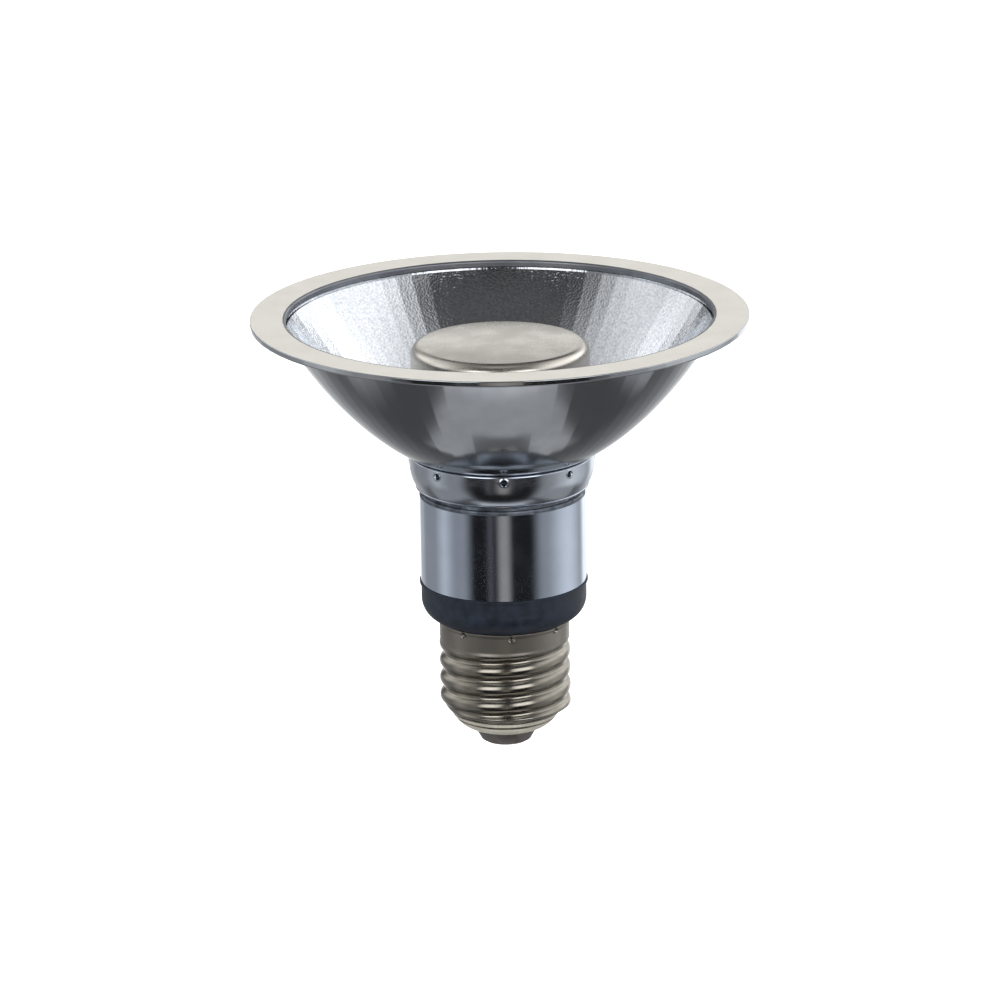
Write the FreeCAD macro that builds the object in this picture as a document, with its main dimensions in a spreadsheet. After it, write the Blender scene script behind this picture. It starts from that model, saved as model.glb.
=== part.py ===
import FreeCAD, Part
import math
import os
import re

import Sketcher
from FreeCAD import Placement, Rotation, Vector

# A reflector spot lamp on a 27 mm screw cap. All sizes are in millimetres.
# The lamp's axis is Z. The origin is the middle of the contact face at the lamp's foot,
# and heights are measured from there up to the rim. The lamp's front is its -Y side.

# Driving dimensions: name, value, meaning
SIZES = (
    ("fit_clearance", 0.1, "gap left all round where one piece slides into another"),
    ("rim_radius", 49.2, "outer radius of the rim flange"),
    ("bowl_depth", 28, "height of the rim's top face above the collar"),
    ("rim_thickness", 1.2, "thickness of the rim flange"),
    ("rim_opening_radius", 42.1, "radius of the mouth inside the flange"),
    ("rim_edge_rounding", 0.4, "rounding of the mouth's upper edge"),
    ("rim_root_rounding", 1.2, "inside radius between the flange and the bowl"),
    ("mouth_lip_height", 1.3, "plain band between the rim face and the stop groove"),
    ("stop_groove_height", 0.4, "height of the groove above the flutes"),
    ("stop_groove_depth", 0.35, "depth of the groove above the flutes"),
    ("bowl_wall", 1.25, "wall of the bowl"),
    ("bowl_flattening", 0.27, "how quickly the bowl straightens towards its rim"),
    ("throat_step", 1.1, "step from the neck out to the bowl's lower end"),
    ("bowl_neck_radius", 16.9, "outer radius of the neck inside the collar"),
    ("bowl_floor_thickness", 1, "floor of the neck"),
    ("collar_height", 6.7, "height of the collar"),
    ("collar_wall", 1.4, "wall of the collar's upper band"),
    ("collar_taper", 1.3, "how far the collar draws in towards its lower edge"),
    ("collar_band_height", 2, "straight band under the upper edge"),
    ("collar_floor_thickness", 1, "floor of the collar"),
    ("collar_edge_rounding", 0.3, "rounding of the collar's edges"),
    ("stake_drop", 1.2, "collar's upper edge down to the stake marks"),
    ("stake_radius", 1.05, "radius of a stake mark at the surface"),
    ("stake_tip_radius", 0.7, "radius of a stake mark at its bottom"),
    ("stake_depth", 0.9, "depth of a stake mark"),
    ("can_radius", 16.5, "outer radius of the can"),
    ("can_length", 19.5, "length of the can"),
    ("can_wall", 0.9, "wall of the can"),
    ("can_top_thickness", 1.1, "thickness of the can's top"),
    ("can_neck_height", 0.9, "height of the neck rolled in under the collar"),
    ("can_neck_depth", 0.4, "depth of that neck"),
    ("lead_passage_radius", 1.8, "central hole that the lamp leads pass through"),
    ("ring_height", 7.8, "height of the insulating ring"),
    ("ring_lip_overhang", 0.25, "how far the thin lip stands out past the can"),
    ("ring_lip_height", 0.5, "height of that lip"),
    ("ring_step", 0.3, "step in from the lip to the ring"),
    ("ring_foot_margin", 0.25, "how far the ring's underside reaches past the shell"),
    ("ring_straight_height", 3.2, "straight part of the ring under its lip"),
    ("ring_rounding", 4.4, "radius of the ring's rounded underside"),
    ("sleeve_wall", 1.4, "wall of the sleeve that stands inside the can"),
    ("sleeve_floor_rise", 2, "height of the sleeve's floor above the ring's underside"),
    ("housing_neck_wall", 1.5, "wall of the neck inside the screw shell"),
    ("housing_neck_gap", 2.2, "lowest crest up to the lower end of the neck"),
    ("cover_thickness", 1, "thickness of the driver cover"),
    ("cover_gap", 0.8, "gap between the cover and the screw heads above it"),
    ("cover_plug_height", 0.8, "depth that the cover reaches into the sleeve"),
    ("shell_sheet", 0.3, "sheet of the screw shell"),
    ("shell_bottom_height", 2.9, "height of the shell's lower edge"),
    ("shell_length", 22.9, "length of the screw shell"),
    ("shell_ring_gap", 0.2, "gap between the shell and the ring's underside"),
    ("shoulder_height", 4.5, "height of the shell's closing shoulder"),
    ("skirt_height", 2.7, "height of the plain skirt above the thread"),
    ("skirt_step", 0.33, "step out from the middle of the thread to the skirt"),
    ("shell_opening_radius", 6.4, "radius of the hole in the shell's lower end"),
    ("shoulder_step", 1.72, "step in from the middle of the thread to the shoulder"),
    ("shoulder_step_height", 1, "height of that step"),
    ("shell_shoulder_curve", 6.5, "radius of the shoulder's outline"),
    ("thread_mean_radius", 12.62, "radius midway between thread crest and root"),
    ("thread_half_depth", 0.475, "half the depth of the rounded thread"),
    ("thread_pitch", 3.629, "rise of the thread in one turn, seven to the inch"),
    ("first_crest_rise", 2.4, "start of the thread up to its first crest on the -X side"),
    ("punch_drop", 0.8, "shell's upper edge down to the punch marks"),
    ("punch_radius", 0.4, "radius of a punch mark"),
    ("punch_depth", 0.18, "depth of a punch mark"),
    ("insulator_tip_radius", 4.7, "radius of the insulator's lower end"),
    ("insulator_cone_height", 2, "shell's lower edge up to the insulator's flange"),
    ("insulator_flange_thickness", 1.3, "thickness of the insulator's flange"),
    ("contact_margin", 0.3, "insulator's tip showing round the contact"),
    ("contact_thickness", 0.4, "thickness of the contact disc"),
    ("rivet_radius", 1.2, "outer radius of the contact's hollow rivet"),
    ("lead_radius", 0.5, "radius of a lead over its insulation"),
    ("cap_gap", 0.95, "gap between the diffuser and the cap"),
    ("cap_drop", 5.2, "rim's top face down to the cap's crown"),
    ("cap_height", 9.8, "height of the cap"),
    ("cap_crown_rise", 0.5, "rise of the cap's top from its shoulder to the middle"),
    ("cap_shoulder_rounding", 2.5, "outer radius of the cap's shoulder"),
    ("cap_wall", 1.2, "wall of the cap"),
    ("stud_radius", 2, "radius of the cap's threaded stud"),
    ("stud_length", 10, "length of the stud below the cap"),
    ("post_flange_thickness", 2, "thickness of the lamp post's foot flange"),
    ("post_flat_radius", 9, "distance from the axis to the post's flats"),
    ("post_screw_circle", 7.5, "radius of the circle that the screws stand on"),
    ("screw_radius", 1.5, "radius of a screw's shank"),
    ("screw_head_radius", 2.6, "radius of a screw's head"),
    ("screw_head_height", 1.6, "height of a screw's head"),
    ("screw_socket_radius", 0.9, "radius of the drive socket in a screw's head"),
    ("screw_grip", 5, "length of thread that a screw has in the post"),
    ("diffuser_wall", 1.2, "wall of the diffuser ring"),
    ("diffuser_overlap", 3, "height of the diffuser hidden inside the cap"),
    ("led_board_thickness", 1, "thickness of a light board"),
    ("led_board_width", 8, "width of a light board"),
    ("led_board_height", 13, "height of a light board"),
    ("led_board_rise", 4.5, "post's foot up to a light board"),
    ("led_size", 3.5, "side of a light source package"),
    ("led_thickness", 0.7, "thickness of a light source package"),
    ("led_first_offset", 2.4, "lower edge of a board to its first package"),
    ("led_spacing", 5.4, "distance between packages on a board"),
    ("lead_exit_rise", 2.9, "post's foot up to the holes where the leads come out"),
    ("lead_pad_rise", 1.6, "light board's lower edge up to the end of its lead"),
    ("lead_bend", 1, "bend radius of a lead"),
    ("board_thickness", 1.2, "thickness of the driver board"),
    ("board_end_gap", 0.3, "gap between the driver board and the cover"),
    ("board_tail_gap", 1.2, "gap between the board's tail and the neck"),
    ("board_tail_rise", 2, "lower end of the neck up to the board's lower edge"),
    ("board_slot_depth", 0.7, "depth of the slots that hold the board's edges"),
    ("capacitor_radius", 3.9, "radius of the electrolytic capacitor"),
    ("capacitor_length", 12.5, "length of the electrolytic capacitor"),
    ("capacitor_rise", 0.5, "board's lower edge up to the electrolytic capacitor"),
    ("capacitor_rounding", 0.5, "rounding of the electrolytic capacitor's ends"),
    ("core_width", 13, "width of the transformer core"),
    ("core_height", 12, "height of the transformer core"),
    ("core_depth", 6, "depth of the transformer core"),
    ("core_leg", 4, "width of the core's middle leg"),
    ("core_yoke", 2, "thickness of the core's yokes"),
    ("core_rise", 2, "sleeve's floor up to the transformer core"),
    ("winding_depth", 9, "depth of the transformer winding"),
    ("film_width", 9, "width of the film capacitor"),
    ("film_depth", 5, "depth of the film capacitor"),
    ("film_height", 8, "height of the film capacitor"),
    ("film_rise", 2, "sleeve's floor up to the film capacitor"),
    ("film_side", 2, "distance of the film capacitor from the middle"),
    ("choke_radius", 3.4, "radius of the choke's end plates"),
    ("choke_waist", 2.4, "radius of the choke's winding"),
    ("choke_length", 6.4, "length of the choke"),
    ("choke_plate", 0.9, "thickness of the choke's end plates"),
    ("choke_side", 6.2, "distance of the choke from the middle"),
    ("choke_rise", 6, "sleeve's floor up to the choke's axis"),
    ("rectifier_width", 6, "width of the rectifier"),
    ("rectifier_depth", 2.4, "depth of the rectifier"),
    ("rectifier_height", 5, "height of the rectifier"),
    ("rectifier_rise", 6, "board's lower edge up to the rectifier"),
    ("fuse_radius", 1.4, "radius of the fusible resistor"),
    ("fuse_length", 7, "length of the fusible resistor"),
    ("fuse_side", 5.5, "distance of the fusible resistor from the middle"),
    ("fuse_rise", 1, "board's lower edge up to the fusible resistor"),
    ("chip_width", 5, "width of the controller chip"),
    ("chip_depth", 1.6, "depth of the controller chip"),
    ("chip_height", 4, "height of the controller chip"),
    ("chip_gap", 1, "gap between the film capacitor and the chip above it"),
    ("lead_lap", 4, "length of a lead along the driver board"),
    ("live_lead_rise", 2.6, "contact disc up to the end of the live lead in its rivet"),
    ("neutral_side", 7, "distance of the neutral lead from the middle"),
)

# Counts, and angles in degrees
FLUTES = 72
STAKE_MARKS = 8
PUNCH_MARKS = 8
POST_FLATS = 6
LEDS_PER_BOARD = 2
POST_SCREWS = 3
FRONT = -90
PUNCH_TURN = 6
CREST_SIDE = 180
THREAD_STEPS_PER_TURN = 12
THREAD_RUN_OUT_STEPS = 3
BOWL_STATIONS = (0, 0.04, 0.12, 0.25, 0.45, 0.7, 1)

# What follows from the driving dimensions: heights from the contact face up, then radii
FOLLOWING = {
    "shell_top_height": "shell_bottom_height + shell_length",
    "thread_start_height": "shell_bottom_height + shoulder_height",
    "shoulder_top_height": "thread_start_height - shoulder_step_height",
    "thread_end_height": "shell_top_height - skirt_height",
    "thread_crest_height": "thread_start_height + first_crest_rise",
    "punch_height": "shell_top_height - punch_drop",
    "insulator_flange_bottom": "shell_bottom_height + insulator_cone_height",
    "insulator_top_height": "insulator_flange_bottom + insulator_flange_thickness",
    "ring_bottom_height": "shell_top_height + shell_ring_gap",
    "sleeve_floor_height": "ring_bottom_height + sleeve_floor_rise",
    "can_foot_height": "ring_bottom_height + ring_height",
    "can_top_height": "can_foot_height + can_length",
    "can_top_inside": "can_top_height - can_top_thickness",
    "sleeve_top_height": "can_top_inside - screw_head_height - cover_gap - cover_thickness",
    "collar_top_height": "can_top_height + collar_height",
    "collar_floor_top": "can_top_height + collar_floor_thickness",
    "stake_height": "collar_top_height - stake_drop",
    "bowl_floor_top": "collar_floor_top + bowl_floor_thickness",
    "bowl_throat": "collar_top_height + fit_clearance / 2",
    "rim_height": "collar_top_height + bowl_depth",
    "rim_underside": "rim_height - rim_thickness",
    "flute_top": "rim_height - mouth_lip_height - stop_groove_height",
    "cap_top_height": "rim_height - cap_drop",
    "cap_bottom_height": "cap_top_height - cap_height",
    "cap_inside_top": "cap_top_height - cap_crown_rise - cap_wall",
    "post_foot_top": "bowl_floor_top + post_flange_thickness",
    "led_board_bottom": "post_foot_top + led_board_rise",
    "lead_exit_height": "post_foot_top + lead_exit_rise",
    "lead_pad_height": "led_board_bottom + lead_pad_rise",
    "post_bore_depth": "lead_exit_height + lead_passage_radius - bowl_floor_top",
    "housing_neck_bottom": "thread_crest_height + housing_neck_gap",
    "board_top_height": "sleeve_top_height - cover_plug_height - board_end_gap",
    "board_tail_bottom": "housing_neck_bottom + board_tail_rise",
    "lamp_solder_height": "board_top_height - lead_lap",
    "tail_solder_height": "board_tail_bottom + lead_lap",
    "capacitor_bottom": "board_tail_bottom + capacitor_rise",
    "rectifier_bottom": "board_tail_bottom + rectifier_rise",
    "fuse_bottom": "board_tail_bottom + fuse_rise",
    "core_bottom": "sleeve_floor_height + core_rise",
    "film_bottom": "sleeve_floor_height + film_rise",
    "choke_height": "sleeve_floor_height + choke_rise",
    "chip_bottom": "film_bottom + film_height + chip_gap",
    "shell_skirt_radius": "thread_mean_radius + skirt_step",
    "thread_root_inside": "thread_mean_radius - thread_half_depth - shell_sheet",
    "contact_radius": "insulator_tip_radius - contact_margin",
    "housing_neck_radius": "thread_root_inside - fit_clearance",
    "housing_neck_inside": "housing_neck_radius - housing_neck_wall",
    "ring_lip_radius": "can_radius + ring_lip_overhang",
    "ring_radius": "ring_lip_radius - ring_step",
    "ring_foot_radius": "shell_skirt_radius + ring_foot_margin",
    "can_inside": "can_radius - can_wall",
    "sleeve_radius": "can_inside - fit_clearance",
    "sleeve_inside": "sleeve_radius - sleeve_wall",
    "board_tail_width": "2 * (housing_neck_inside - board_tail_gap)",
    "board_back": "-lead_radius",
    "board_front": "-lead_radius - board_thickness",
    "lead_spread": "lead_passage_radius - lead_radius - fit_clearance",
    "collar_inside": "bowl_neck_radius + fit_clearance",
    "collar_radius": "collar_inside + collar_wall",
    "collar_foot_radius": "collar_radius - collar_taper",
    "bowl_neck_inside": "bowl_neck_radius - bowl_wall",
    "bowl_throat_radius": "bowl_neck_radius + throat_step",
    "bowl_rim_radius": "rim_opening_radius + bowl_wall",
    "post_foot_radius": "bowl_neck_inside - fit_clearance",
    "cap_radius": "post_foot_radius + cap_gap + cap_wall",
    "cap_inside": "cap_radius - cap_wall",
    "bowl_rise": "rim_underside - bowl_throat",
    "bowl_spread": "(bowl_rim_radius ^ 2 - bowl_throat_radius ^ 2) / bowl_rise + bowl_flattening * bowl_rise",
}

ALIASES = {alias for alias, value, meaning in SIZES}

document = FreeCAD.newDocument("SpotLamp")
sheet = document.addObject("Spreadsheet::Sheet", "Sizes")
for row, (alias, value, meaning) in enumerate(SIZES, start=1):
    sheet.set(f"A{row}", meaning)
    sheet.set(f"B{row}", str(value))
    sheet.setAlias(f"B{row}", alias)
document.recompute()


def spelled(word):
    """A driving dimension's cell, a following one's expression, or a function's own name."""
    if word in ALIASES:
        return f"Sizes.{word}"
    if word in FOLLOWING:
        return f"({formula(FOLLOWING[word])})"
    return word


def formula(text):
    """Writes an expression of named sizes out to the sheet's cells."""
    return re.sub(r"[a-z][a-z_]+", lambda found: spelled(found[0]), text)


def number(text):
    """The present value of an expression."""
    return float(sheet.evalExpression(formula(text)))


def bind(item, **properties):
    """Ties properties of an object to expressions of the sizes."""
    for name, text in properties.items():
        item.setExpression(name, formula(text))


def move(item, x="0", y="0", z="0", turn=None):
    """Places an object: a fixed turn, and a position tied to the sizes."""
    item.Placement = Placement(Vector(), turn or Rotation())
    for axis, text in (("x", x), ("y", y), ("z", z)):
        item.setExpression(f"Placement.Base.{axis}", formula(text))
    return item


def around(item, angle, out, z, sideways="0", turn=None):
    """Places an object at an angle about the axis, with its own X pointing outward."""
    along = f"({out}) * cos({angle}) - ({sideways}) * sin({angle})"
    across = f"({out}) * sin({angle}) + ({sideways}) * cos({angle})"
    spin = Rotation(Vector(0, 0, 1), angle)
    return move(item, along, across, z, spin.multiply(turn) if turn else spin)


def make(kind, name, **properties):
    """Adds an object and ties its sizes."""
    item = document.addObject(kind, name)
    bind(item, **properties)
    return item


def box(name, length, width, height):
    return make("Part::Box", name, Length=length, Width=width, Height=height)


def cylinder(name, radius, height):
    return make("Part::Cylinder", name, Radius=radius, Height=height)


def cut(name, base, *tools):
    """Takes one or more tools out of a base."""
    item = document.addObject("Part::Cut", name)
    item.Base = base
    item.Tool = tools[0] if len(tools) == 1 else fuse(name + "_tools", *tools)
    return item


def fuse(name, *shapes):
    item = document.addObject("Part::MultiFuse", name)
    item.Shapes = list(shapes)
    return item


def loft(name, sections, ruled=False):
    """A solid through closed sections: smooth, or straight from each section to the next."""
    item = document.addObject("Part::Loft", name)
    item.Sections = sections
    item.Solid = True
    item.Ruled = ruled
    return item


def arc_between(first, last, radius, side):
    """The short arc between two corners, its centre on the left (1) or right (-1) of travel."""
    chord = last - first
    left = Vector(-chord.y, chord.x, 0).normalize()
    height = math.sqrt(max(radius ** 2 - (chord.Length / 2) ** 2, 0))
    centre = (first + last) / 2 + left * (side * height)
    start, end = (first, last) if side > 0 else (last, first)
    angles = [math.atan2(p.y - centre.y, p.x - centre.x) for p in (start, end)]
    if angles[1] < angles[0]:
        angles[1] += 2 * math.pi
    return Part.ArcOfCircle(Part.Circle(centre, Vector(0, 0, 1), radius), *angles)


def turned(name, outline):
    """A body turned about the axis from an outline of corners.

    A corner is (radius, height), or (radius, height, arc radius, side) where an arc leads on
    to the next corner. Every corner and arc of the sketch is tied to the sizes.
    """
    body = document.addObject("PartDesign::Body", name)
    sketch = body.newObject("Sketcher::SketchObject", name + "_outline")
    plane = next(f for f in body.Origin.OriginFeatures if f.Role == "XZ_Plane")
    sketch.AttachmentSupport = [(plane, "")]
    sketch.MapMode = "FlatFace"
    corners = [Vector(number(corner[0]), number(corner[1]), 0) for corner in outline]
    starts = []
    ends = []
    arcs = []
    for index, corner in enumerate(outline):
        first = corners[index]
        last = corners[(index + 1) % len(corners)]
        if len(corner) == 4:
            side = corner[3]
            edge = sketch.addGeometry(arc_between(first, last, number(corner[2]), side), False)
            starts.append((edge, 1 if side > 0 else 2))
            ends.append((edge, 2 if side > 0 else 1))
            arcs.append((edge, corner[2]))
        else:
            edge = sketch.addGeometry(Part.LineSegment(first, last), False)
            starts.append((edge, 1))
            ends.append((edge, 2))
    for index, corner in enumerate(outline):
        following = starts[(index + 1) % len(starts)]
        sketch.addConstraint(Sketcher.Constraint("Coincident", *ends[index], *following))
        for kind, text, axis in (("DistanceX", corner[0], -2), ("DistanceY", corner[1], -1)):
            if text == "0":
                sketch.addConstraint(Sketcher.Constraint("PointOnObject", *starts[index], axis))
                continue
            rule = Sketcher.Constraint(kind, -1, 1, *starts[index], number(text))
            which = sketch.addConstraint(rule)
            sketch.setExpression(f"Constraints[{which}]", formula(text))
    for edge, text in arcs:
        which = sketch.addConstraint(Sketcher.Constraint("Radius", edge, number(text)))
        sketch.setExpression(f"Constraints[{which}]", formula(text))
    solid = body.newObject("PartDesign::Revolution", name + "_turning")
    solid.Profile = sketch
    solid.ReferenceAxis = (sketch, ["V_Axis"])
    solid.Angle = 360
    body.Tip = solid
    return body


def lead(name, points, bend):
    """A round lead along straight runs, joined at their corners by arcs of one bend radius."""
    radius = number("lead_radius")
    edges = []
    here = points[0]
    for corner, ahead in zip(points[1:-1], points[2:]):
        back = (here - corner).normalize()
        on = (ahead - corner).normalize()
        reach = bend / math.tan(back.getAngle(on) / 2)
        enter = corner + back * reach
        leave = corner + on * reach
        inward = (back + on).normalize()
        centre = corner + inward * math.hypot(bend, reach)
        middle = centre - inward * bend
        edges.append(Part.LineSegment(here, enter).toShape())
        edges.append(Part.Arc(enter, middle, leave).toShape())
        here = leave
    edges.append(Part.LineSegment(here, points[-1]).toShape())
    ring = Part.Wire([Part.makeCircle(radius, points[0], points[1] - points[0])])
    item = document.addObject("Part::Feature", name)
    item.Shape = Part.Wire(edges).makePipeShell([ring], True, False)
    item.Placement = Placement()
    return item


# The throat-to-rim outline of the bowl is a conic: the square of its radius gains a steady
# amount with height, less the flattening. It passes through the throat and the rim's root.
def bowl_radius(height):
    """The bowl's outer radius at a height."""
    above = f"({height} - bowl_throat)"
    return f"sqrt(bowl_throat_radius ^ 2 + bowl_spread * {above} - bowl_flattening * {above} ^ 2)"


# Reflector bowl: spun with its neck and rim in one piece, its inside pressed into flutes
def reflector_bowl():
    rings = []
    flutes = []
    for index, share in enumerate(BOWL_STATIONS):
        height = f"(bowl_throat + {share} * bowl_rise)"
        ring = make("Part::Circle", f"bowl_ring_{index}", Radius=bowl_radius(height))
        rings.append(move(ring, z=height))
        inner_height = f"(bowl_throat + {share} * (flute_top + fit_clearance - bowl_throat))"
        corner_radius = f"{bowl_radius(inner_height)} - bowl_wall"
        facets = make("Part::RegularPolygon", f"bowl_facets_{index}", Circumradius=corner_radius)
        facets.Polygon = FLUTES
        flutes.append(move(facets, z=inner_height))
    blank = loft("bowl_blank", rings)
    fluting = loft("bowl_fluting", flutes)
    root = "(rim_underside - rim_root_rounding)"
    root_radius = bowl_radius(root)
    half = "(rim_thickness / 2)"
    flange = turned("bowl_flange", (
        ("rim_opening_radius - rim_root_rounding", root),
        (root_radius, root, "rim_root_rounding", -1),
        (f"{root_radius} + rim_root_rounding", "rim_underside"),
        (f"rim_radius - {half}", "rim_underside", half, 1),
        ("rim_radius", f"rim_height - {half}", half, 1),
        (f"rim_radius - {half}", "rim_height"),
        ("rim_opening_radius - rim_root_rounding", "rim_height"),
    ))
    mouth = turned("bowl_mouth", (
        ("0", "flute_top"),
        ("rim_opening_radius + stop_groove_depth", "flute_top"),
        ("rim_opening_radius + stop_groove_depth", "flute_top + stop_groove_height"),
        ("rim_opening_radius", "flute_top + stop_groove_height"),
        ("rim_opening_radius", "rim_height - rim_edge_rounding", "rim_edge_rounding", -1),
        ("rim_opening_radius + rim_edge_rounding", "rim_height"),
        ("rim_opening_radius + rim_edge_rounding", "rim_height + rim_thickness"),
        ("0", "rim_height + rim_thickness"),
    ))
    neck = cylinder("bowl_neck", "bowl_neck_radius", "bowl_throat - collar_floor_top + bowl_wall")
    move(neck, z="collar_floor_top")
    bore = cylinder("bowl_neck_bore", "bowl_neck_inside", "bowl_throat - bowl_floor_top + bowl_wall")
    move(bore, z="bowl_floor_top")
    body = fuse("bowl_body", blank, flange, neck)
    holes = floor_holes("bowl", "collar_floor_top", "bowl_floor_thickness")
    return cut("reflector_bowl", body, fluting, mouth, bore, *holes)


def floor_holes(owner, bottom, thickness):
    """The lead passage and the screw holes through one of the stacked floors."""
    passage = cylinder(f"{owner}_passage", "lead_passage_radius", f"{thickness} * 3")
    holes = [move(passage, z=f"{bottom} - {thickness}")]
    for index in range(POST_SCREWS):
        hole = cylinder(f"{owner}_screw_hole_{index}", "screw_radius + fit_clearance", f"{thickness} * 3")
        holes.append(around(hole, screw_angle(index), "post_screw_circle", f"{bottom} - {thickness}"))
    return holes


def screw_angle(index):
    return FRONT + 180 + index * 360 / POST_SCREWS


# Collar ring: drawn cup that grips the bowl's neck, staked all round
def collar_ring():
    bend_height = "(collar_top_height - collar_band_height)"
    bend_drop = f"({bend_height} - can_top_height - collar_edge_rounding)"
    bend_in = "(collar_radius - collar_foot_radius)"
    bend_radius = f"(({bend_drop} ^ 2 + {bend_in} ^ 2) / (2 * {bend_in}))"
    cup = turned("collar_cup", (
        ("0", "can_top_height"),
        ("collar_foot_radius - collar_edge_rounding", "can_top_height", "collar_edge_rounding", 1),
        ("collar_foot_radius", "can_top_height + collar_edge_rounding", bend_radius, 1),
        ("collar_radius", bend_height),
        ("collar_radius", "collar_top_height - collar_edge_rounding", "collar_edge_rounding", 1),
        ("collar_radius - collar_edge_rounding", "collar_top_height"),
        ("collar_inside", "collar_top_height"),
        ("collar_inside", "collar_floor_top"),
        ("0", "collar_floor_top"),
    ))
    marks = []
    for index in range(STAKE_MARKS):
        mark = make("Part::Cone", f"stake_mark_{index}", Radius1="stake_tip_radius",
                    Radius2="stake_radius", Height="stake_depth")
        facing = Rotation(Vector(0, 1, 0), 90)
        angle = FRONT + index * 360 / STAKE_MARKS
        marks.append(around(mark, angle, "collar_radius - stake_depth", "stake_height", turn=facing))
    return cut("collar_ring", cup, *marks, *floor_holes("collar", "can_top_height", "collar_floor_thickness"))


# Housing can: deep-drawn tube, closed on top, necked in under the collar
def housing_can():
    neck_radius = "(can_radius - can_neck_depth)"
    neck_bottom = "(can_top_height - can_neck_height)"
    cup = turned("can_cup", (
        ("can_inside", "can_foot_height"),
        ("can_radius", "can_foot_height"),
        ("can_radius", f"{neck_bottom} - can_neck_depth", "can_neck_depth", 1),
        (neck_radius, neck_bottom),
        (neck_radius, "can_top_height"),
        ("0", "can_top_height"),
        ("0", "can_top_inside"),
        ("can_inside - can_neck_depth", "can_top_inside", "can_neck_depth", -1),
        ("can_inside", "can_top_inside - can_neck_depth"),
    ))
    return cut("housing_can", cup, *floor_holes("can", "can_top_inside", "can_top_thickness"))


# Driver housing: moulded ring, sleeve and neck in one, with slots for the board's edges
def driver_housing():
    lip_bottom = "(can_foot_height - ring_lip_height)"
    straight_bottom = f"({lip_bottom} - ring_straight_height)"
    land_radius = "(shell_skirt_radius - shell_sheet - fit_clearance)"
    land_bottom = "(thread_end_height + (shell_top_height - thread_end_height) / 4)"
    moulding = turned("housing_moulding", (
        ("housing_neck_inside", "housing_neck_bottom"),
        ("housing_neck_radius", "housing_neck_bottom"),
        ("housing_neck_radius", f"{land_bottom} - fit_clearance"),
        (land_radius, land_bottom),
        (land_radius, "ring_bottom_height"),
        ("ring_foot_radius", "ring_bottom_height", "ring_rounding", 1),
        ("ring_radius", straight_bottom),
        ("ring_radius", lip_bottom),
        ("ring_lip_radius", f"{lip_bottom} + fit_clearance"),
        ("ring_lip_radius", "can_foot_height"),
        ("sleeve_radius", "can_foot_height"),
        ("sleeve_radius", "sleeve_top_height"),
        ("sleeve_inside", "sleeve_top_height"),
        ("sleeve_inside", "sleeve_floor_height"),
        ("housing_neck_inside", "sleeve_floor_height"),
    ))
    slot_reach = "(sleeve_inside + board_slot_depth)"
    slots = box("housing_slots", f"2 * {slot_reach}", "board_thickness + fit_clearance",
                "sleeve_top_height - sleeve_floor_height + cover_thickness")
    move(slots, f"-{slot_reach}", "board_front - fit_clearance / 2", "sleeve_floor_height")
    return cut("driver_housing", moulding, slots)


# Driver cover: insulating lid pressed into the sleeve
def driver_cover():
    plug_radius = "(sleeve_inside - fit_clearance)"
    plug_bottom = "(sleeve_top_height - cover_plug_height)"
    disc = turned("cover_disc", (
        ("0", plug_bottom),
        (plug_radius, plug_bottom),
        (plug_radius, "sleeve_top_height"),
        ("sleeve_radius", "sleeve_top_height"),
        ("sleeve_radius", "sleeve_top_height + cover_thickness"),
        ("0", "sleeve_top_height + cover_thickness"),
    ))
    holes = []
    for index, side in enumerate(("-", "")):
        hole = cylinder(f"cover_lead_hole_{index}", "lead_radius + fit_clearance",
                        "cover_plug_height + 2 * cover_thickness")
        holes.append(move(hole, f"{side}lead_spread", z=f"{plug_bottom} - cover_thickness / 2"))
    return cut("driver_cover", disc, *holes)


def shell_surface(name, inset, bottom):
    """The shell's outer form, or its inside where it is inset by the sheet.

    The rounded thread is a round section whose centre travels a small helix. It fades out
    into the plain skirt above and into the shoulder that closes towards the contact.
    """
    steps = round((number("thread_end_height") - number("thread_start_height"))
                  / number("thread_pitch") * THREAD_STEPS_PER_TURN)
    full_radius = f"(thread_mean_radius - {inset})"
    sections = []
    for step in range(steps + 1):
        height = (f"(thread_start_height + {step} / {steps}"
                  " * (thread_end_height - thread_start_height))")
        fade = min(1, step / THREAD_RUN_OUT_STEPS, (steps - step) / THREAD_RUN_OUT_STEPS)
        section = make("Part::Circle", f"{name}_section_{step}", Radius=full_radius)
        phase = f"({CREST_SIDE} + 360 * ({height} - thread_crest_height) / thread_pitch)"
        offset = f"thread_half_depth * {fade}"
        move(section, f"{offset} * cos({phase})", f"{offset} * sin({phase})", height)
        sections.append(section)
    shoulder = turned(f"{name}_shoulder", (
        ("0", bottom),
        ("shell_opening_radius", bottom, "shell_shoulder_curve", 1),
        (f"{full_radius} - shoulder_step", "shoulder_top_height"),
        (full_radius, "thread_start_height"),
        ("0", "thread_start_height"),
    ))
    skirt_radius = f"(shell_skirt_radius - {inset})"
    skirt = turned(f"{name}_skirt", (
        ("0", "thread_end_height"),
        (full_radius, "thread_end_height"),
        (skirt_radius, "thread_end_height + shell_skirt_radius - thread_mean_radius"),
        (skirt_radius, f"shell_top_height + {inset}"),
        ("0", f"shell_top_height + {inset}"),
    ))
    return fuse(name, shoulder, loft(f"{name}_thread", sections, ruled=True), skirt)


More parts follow.
